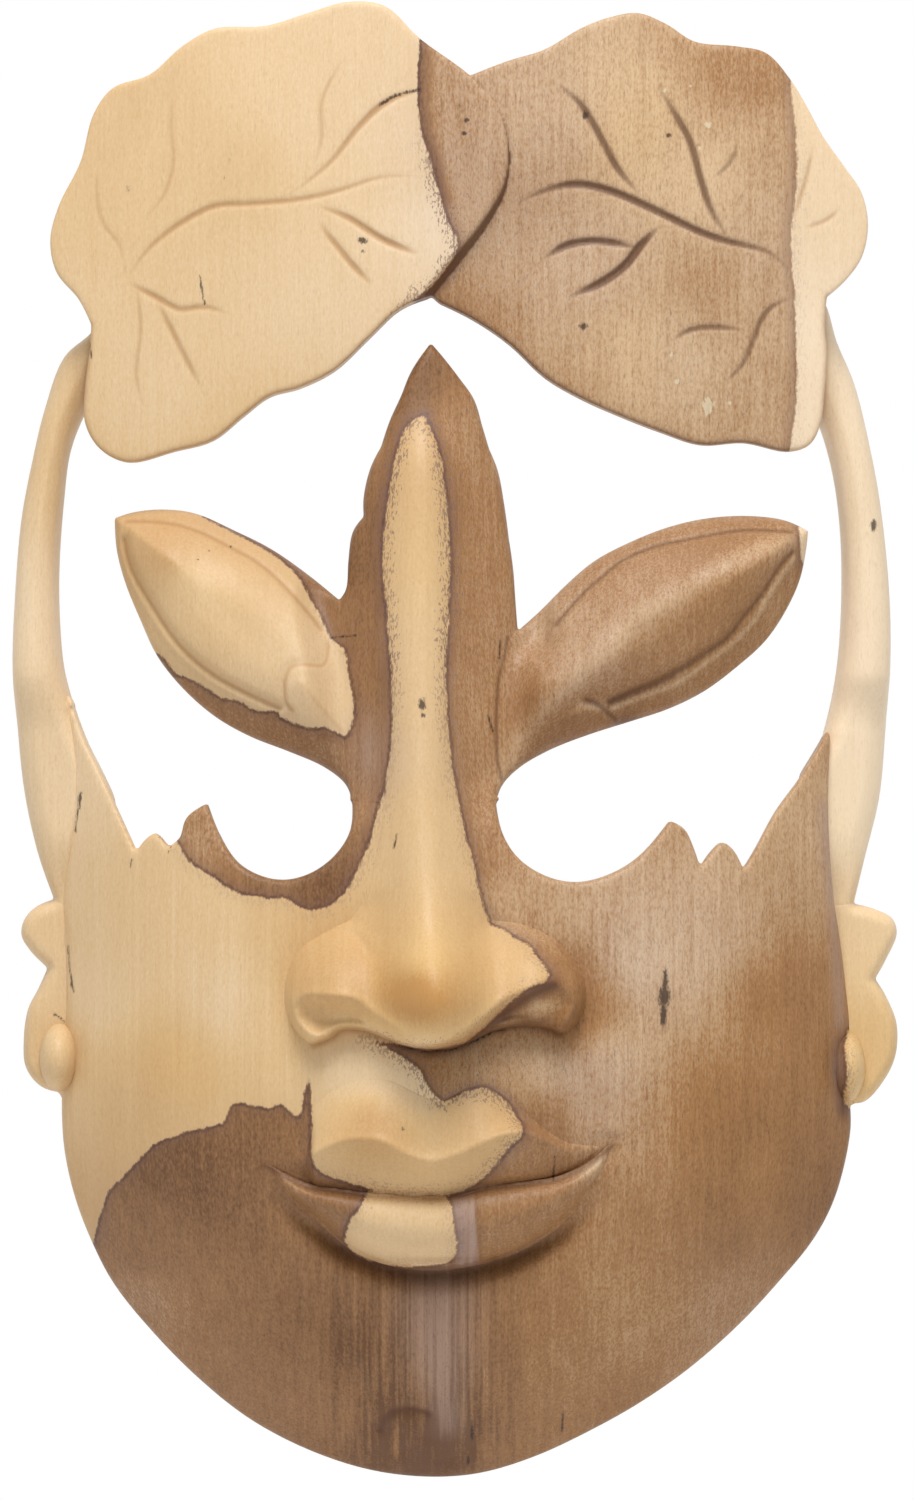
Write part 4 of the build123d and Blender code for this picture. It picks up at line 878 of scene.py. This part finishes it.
LET_IN = dict(round_front=0.01, round_back=0.01, fixed_lap=0.6)
SPECS = [
    ("face_shell", under, flat, body, dict(hollow=(hollow_plan, plain_dome - WALL_D), voxel=COARSE)),
    ("brow_leaf", under, BRIDGE_D - BROW_LEAN * (H - BRIDGE_H) - BROW_THICK, body, dict(round_front=2.4)),
    ("nose", nose_front, base - 3, s["nose"] - 3, LET_IN),
    ("upper_lip", upper_front, plain_dome - 4, s["upper_lip"] - 3, LET_IN),
    ("lower_lip", lower_front, plain_dome - 5, s["lower_lip"] - 3, LET_IN),
    ("left_eye_pod", left_pod_front, pod_back(left_pod_front), body, dict(round_front=2.2)),
    ("right_eye_pod", right_pod_front, pod_back(right_pod_front), body, dict(round_front=2.2)),
    ("left_side_arm", left_arm_front, flat, body, dict(round_front=2.0, round_back=2.0)),
    ("right_side_arm", right_arm_front, flat, body, dict(round_front=2.0, round_back=2.0)),
    ("left_crown_leaf", left_leaf_front, left_leaf_back, s["left_crown_leaf"], dict(round_front=0.5)),
    ("right_crown_leaf", right_leaf_front, flat + ARM_D, crown_free, dict(round_front=0.5)),
    ("left_ear", ear_front, flat, body, dict(round_front=2.0, round_back=1.5)),
    ("right_ear", ear_front, flat, body, dict(round_front=2.0, round_back=1.5)),
]

carved = {}
for name, front, back, free, options in SPECS:
    carved[name] = carve("carved_" + name, s[name], front, back, free, **options)


def stud(name, centre, size):
    """A rounded button."""
    (cx, ch), (rx, rh) = centre, size
    r2 = ((X - cx) / rx) ** 2 + ((H - ch) / rh) ** 2
    front = EAR_D - 2 + 11 * np.sqrt(np.maximum(1 - r2, 0))
    outline = (np.sqrt(r2) - 1) * min(rx, rh)
    return carve("carved_" + name, outline, front, flat + EAR_D - 4, outline, round_front=1.0, voxel=0.5)


carved["left_ear_stud"] = stud("left_ear_stud", *LEFT_STUD)
carved["right_ear_stud"] = stud("right_ear_stud", *RIGHT_STUD)


# Materials
class Graph:
    """Short calls for a material's nodes."""

    def __init__(self, name):
        self.material = bpy.data.materials.new(name)
        self.material.use_nodes = True
        self.tree = self.material.node_tree
        self.shader = self.tree.nodes["Principled BSDF"]

    def put(self, socket, value):
        if isinstance(value, bpy.types.NodeSocket):
            self.tree.links.new(value, socket)
        else:
            socket.default_value = value

    def node(self, kind, settings=None, **inputs):
        made = self.tree.nodes.new(kind)
        for key, value in (settings or {}).items():
            setattr(made, key, value)
        for key, value in inputs.items():
            self.put(made.inputs[key.replace("_", " ")], value)
        return made

    def math(self, operation, a, b):
        made = self.tree.nodes.new("ShaderNodeMath")
        made.operation = operation
        self.put(made.inputs[0], a)
        self.put(made.inputs[1], b)
        return made.outputs[0]

    def add(self, a, b):
        return self.math("ADD", a, b)

    def multiply(self, a, b):
        return self.math("MULTIPLY", a, b)

    def centred(self, noise, swing):
        """Noise about 0 instead of about a half."""
        return self.multiply(self.math("SUBTRACT", noise, 0.5), swing)

    def finish(self, colour, roughness, height, strength, reach):
        """The material, with a bump from the height."""
        bump = self.node("ShaderNodeBump", Height=height, Strength=strength, Distance=reach)
        self.put(self.shader.inputs["Base Color"], colour)
        self.put(self.shader.inputs["Roughness"], roughness)
        self.put(self.shader.inputs["Normal"], bump.outputs["Normal"])
        return self.material

    def ramp(self, value, low, high, to_low=0.0, to_high=1.0, smooth_ends=True):
        made = self.tree.nodes.new("ShaderNodeMapRange")
        made.interpolation_type = "SMOOTHSTEP" if smooth_ends else "LINEAR"
        for key, v in zip(("Value", "From Min", "From Max", "To Min", "To Max"),
                          (value, low, high, to_low, to_high)):
            self.put(made.inputs[key], v)
        return made.outputs[0]

    def mix(self, share, a, b, blend="MIX"):
        made = self.tree.nodes.new("ShaderNodeMix")
        made.data_type, made.blend_type = "RGBA", blend
        self.put(made.inputs[0], share)
        self.put(made.inputs[6], a)
        self.put(made.inputs[7], b)
        return made.outputs[2]

    def noise(self, scale, detail=3.0, roughness=0.5):
        """Noise in object space, with a scale per metre along each axis."""
        coordinates = self.node("ShaderNodeTexCoord").outputs["Object"]
        mapping = self.node("ShaderNodeMapping", Vector=coordinates, Scale=scale)
        made = self.node("ShaderNodeTexNoise", Vector=mapping.outputs[0], Scale=1.0, Detail=detail,
                         Roughness=roughness)
        return made.outputs["Fac"]

    def field(self, name):
        return self.node("ShaderNodeAttribute", {"attribute_name": name}).outputs["Fac"]


def srgb(r, g, b):
    """Linear colour from 0 to 255 screen values."""
    parts = [c / 255 for c in (r, g, b)]
    return (*[c / 12.92 if c <= 0.04045 else ((c + 0.055) / 1.055) ** 2.4 for c in parts], 1.0)


def carved_wood():
    g = Graph("carved_two_tone_wood")
    fibre = g.noise((1300, 500, 60), 5.0, 0.6)
    broad = g.noise((950, 60, 9), 3.0, 0.55)
    blotch = g.noise((38, 38, 26), 3.0, 0.55)
    speck = g.noise((2000, 2000, 900), 2.0, 0.6)
    pore = g.noise((3000, 3000, 420), 2.0, 0.5)
    wobble = g.noise((330, 330, 200), 4.0, 0.65)
    ragged = g.centred(wobble, 1.3)
    dots = g.centred(speck, 1.1)
    side = g.field("heart")
    edge = g.add(g.add(side, ragged), dots)
    heart = g.ramp(edge, -0.3, 0.3)
    streaks = g.centred(broad, g.field("streak"))
    grain = g.add(g.centred(fibre, 0.4), streaks)
    grain = g.add(grain, g.centred(blotch, 0.4))
    grain = g.add(grain, g.centred(speck, 0.75))

    def toned(name, swing, low, middle, high):
        tone = g.add(g.field(name), g.multiply(grain, swing))
        colour = g.mix(g.ramp(tone, 0, 0.5, smooth_ends=False), low, middle)
        return g.mix(g.ramp(tone, 0.5, 1, smooth_ends=False), colour, high)

    heartwood = toned("heart_tone", 1.0, srgb(103, 69, 40), srgb(157, 116, 76), srgb(206, 178, 143))
    sapwood = toned("sap_tone", 0.45, srgb(182, 139, 88), srgb(210, 179, 134), srgb(234, 213, 182))
    colour = g.mix(heart, sapwood, heartwood)
    warm = g.ramp(g.field("warmth"), -1, 1, smooth_ends=False)
    tint = g.mix(warm, (0.95, 1.0, 1.22, 1), (1.05, 0.98, 0.78, 1))
    colour = g.mix(1.0, colour, tint, "MULTIPLY")
    mauve = g.multiply(g.multiply(g.field("mauve"), heart), g.ramp(broad, 0.35, 0.62, 0.55, 1.0))
    colour = g.mix(mauve, colour, srgb(164, 138, 124))
    shadow = g.multiply(g.ramp(side, 0, 3.5, 0.3, 0), heart)
    colour = g.mix(shadow, colour, srgb(118, 86, 72))
    rim = g.ramp(g.math("ABSOLUTE", g.math("SUBTRACT", edge, 0.3), 0), 0, 0.65, 1, 0)
    rim = g.multiply(rim, g.ramp(wobble, 0.3, 0.7, 0.45, 0.9))
    colour = g.mix(g.multiply(rim, g.field("rim")), colour, srgb(86, 58, 48))
    near = g.ramp(g.math("ABSOLUTE", side, 0), 0.3, 4.0, 0.14, 0)
    stipple = g.ramp(g.add(speck, near), 0.6, 0.7)
    stipple = g.multiply(g.ramp(side, -4.0, -2.5, 0, 0.7), stipple)
    colour = g.mix(g.multiply(stipple, g.field("dots")), colour, srgb(112, 84, 78))
    pores = g.multiply(g.ramp(pore, 0.58, 0.70), g.ramp(heart, 0, 1, 0.1, 0.32))
    colour = g.mix(pores, colour, srgb(92, 58, 36))
    # Dark lines, and painted shade in grooves, slits, recesses and under edges
    line_and_shade_colour = g.mix(heart, srgb(160, 113, 64), srgb(88, 52, 28))
    line = g.multiply(g.field("line"), g.ramp(heart, 0, 1, 0.75, 0.85))
    colour = g.mix(line, colour, line_and_shade_colour)
    # Knots and cracks, and a painted shade line in the undercut below the nose
    knot = g.ramp(g.add(g.field("knot"), dots), 0.3, 0.75)
    colour = g.mix(g.multiply(knot, 0.85), colour, srgb(46, 28, 20))
    wax = g.ramp(g.add(g.field("wax"), dots), 0.3, 0.6, 0, 0.55)
    colour = g.mix(wax, colour, srgb(216, 206, 176))
    rough = g.ramp(g.noise((210, 210, 40), 3.0), 0.3, 0.7, 0.45, 0.58)
    rough = g.add(rough, g.multiply(pores, 0.25))
    g.shader.inputs["Specular IOR Level"].default_value = 0.35
    height = g.add(g.multiply(fibre, 0.5), g.multiply(pore, -0.35))
    height = g.math("SUBTRACT", height, g.multiply(knot, 0.8))
    return g.finish(colour, rough, height, 0.35, 0.00012)


def dowel_wood():
    g = Graph("turned_dowel_wood")
    fibre = g.noise((900, 900, 900), 4.0, 0.6)
    colour = g.mix(g.ramp(fibre, 0.3, 0.7), srgb(172, 128, 84), srgb(206, 166, 118))
    return g.finish(colour, g.ramp(fibre, 0.2, 0.8, 0.5, 0.7), fibre, 0.3, 0.0001)


def brass():
    g = Graph("hanger_brass")
    scratch = g.noise((2500, 400, 2500), 4.0, 0.6)
    stain = g.noise((180, 180, 180), 3.0, 0.55)
    colour = g.mix(g.ramp(stain, 0.35, 0.7), srgb(196, 158, 86), srgb(150, 112, 58))
    g.shader.inputs["Metallic"].default_value = 1.0
    return g.finish(colour, g.ramp(scratch, 0.2, 0.8, 0.24, 0.42), scratch, 0.2, 0.00005)


wood, dowels, metal = carved_wood(), dowel_wood(), brass()
for name, piece in carved.items():
    piece.data.materials.append(wood)
    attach(piece, "mask")
    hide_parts(name)
for name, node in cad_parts.items():
    if name in carved:
        continue
    material = metal if name.startswith("hanger") else dowels
    node.data.materials.clear()
    node.data.materials.append(material)


# Studio
FRONT_LEVEL, KEY_POWER = 0.34, 20.0
FLOOR_DROP, FLOOR_REACH = 0.12, 1.2


def studio():
    world = bpy.data.worlds.new("studio")
    bpy.context.scene.world = world
    world.use_nodes = True
    tree = world.node_tree
    direction = tree.nodes.new("ShaderNodeSeparateXYZ")
    tree.links.new(tree.nodes.new("ShaderNodeTexCoord").outputs["Generated"], direction.inputs[0])
    level = tree.nodes.new("ShaderNodeMapRange")
    tree.links.new(direction.outputs["Y"], level.inputs["Value"])
    for key, value in (("From Min", -0.9), ("From Max", 0.7), ("To Min", FRONT_LEVEL), ("To Max", 1.0)):
        level.inputs[key].default_value = value
    tree.links.new(level.outputs[0], tree.nodes["Background"].inputs["Strength"])
    tree.nodes["Background"].inputs["Color"].default_value = (1, 1, 1, 1)
    z, r = CHIN_Z - FLOOR_DROP, FLOOR_REACH
    mesh = bpy.data.meshes.new("floor")
    mesh.from_pydata([(-r, -r, z), (r, -r, z), (r, r, z), (-r, r, z)], [], [(0, 1, 2, 3)])
    floor = bpy.data.objects.new("floor", mesh)
    bpy.context.scene.collection.objects.link(floor)
    g = Graph("pale_floor")
    g.shader.inputs["Base Color"].default_value = (0.8, 0.8, 0.8, 1)
    g.shader.inputs["Roughness"].default_value = 0.9
    mesh.materials.append(g.material)

    def area_light(name, place, size, power, aim=(0, -0.03, -0.13)):
        light = bpy.data.lights.new(name, "AREA")
        light.energy, light.size = power, size
        made = bpy.data.objects.new(name, light)
        bpy.context.scene.collection.objects.link(made)
        made.location = place
        direction = np.array(aim) - np.array(place)
        made.rotation_euler = Vector(direction).to_track_quat("-Z", "Y").to_euler()

    area_light("key", (0.0, -0.8, 1.05), 0.7, KEY_POWER)


CAMERA_DISTANCE, VIEW_HEIGHT, VIEW_CENTRE_Z = 2.2, 0.345, -0.149
studio()
camera_data = bpy.data.cameras.new("camera")
camera_data.sensor_width = 36.0
camera_data.lens = 36.0 * CAMERA_DISTANCE / VIEW_HEIGHT
camera = bpy.data.objects.new("camera", camera_data)
bpy.context.scene.collection.objects.link(camera)
camera.location = (0, -CAMERA_DISTANCE - 0.02, VIEW_CENTRE_Z)
camera.rotation_euler = (math.radians(90), 0, 0)
bpy.context.scene.camera = camera
bpy.context.scene.view_settings.view_transform = "Standard"
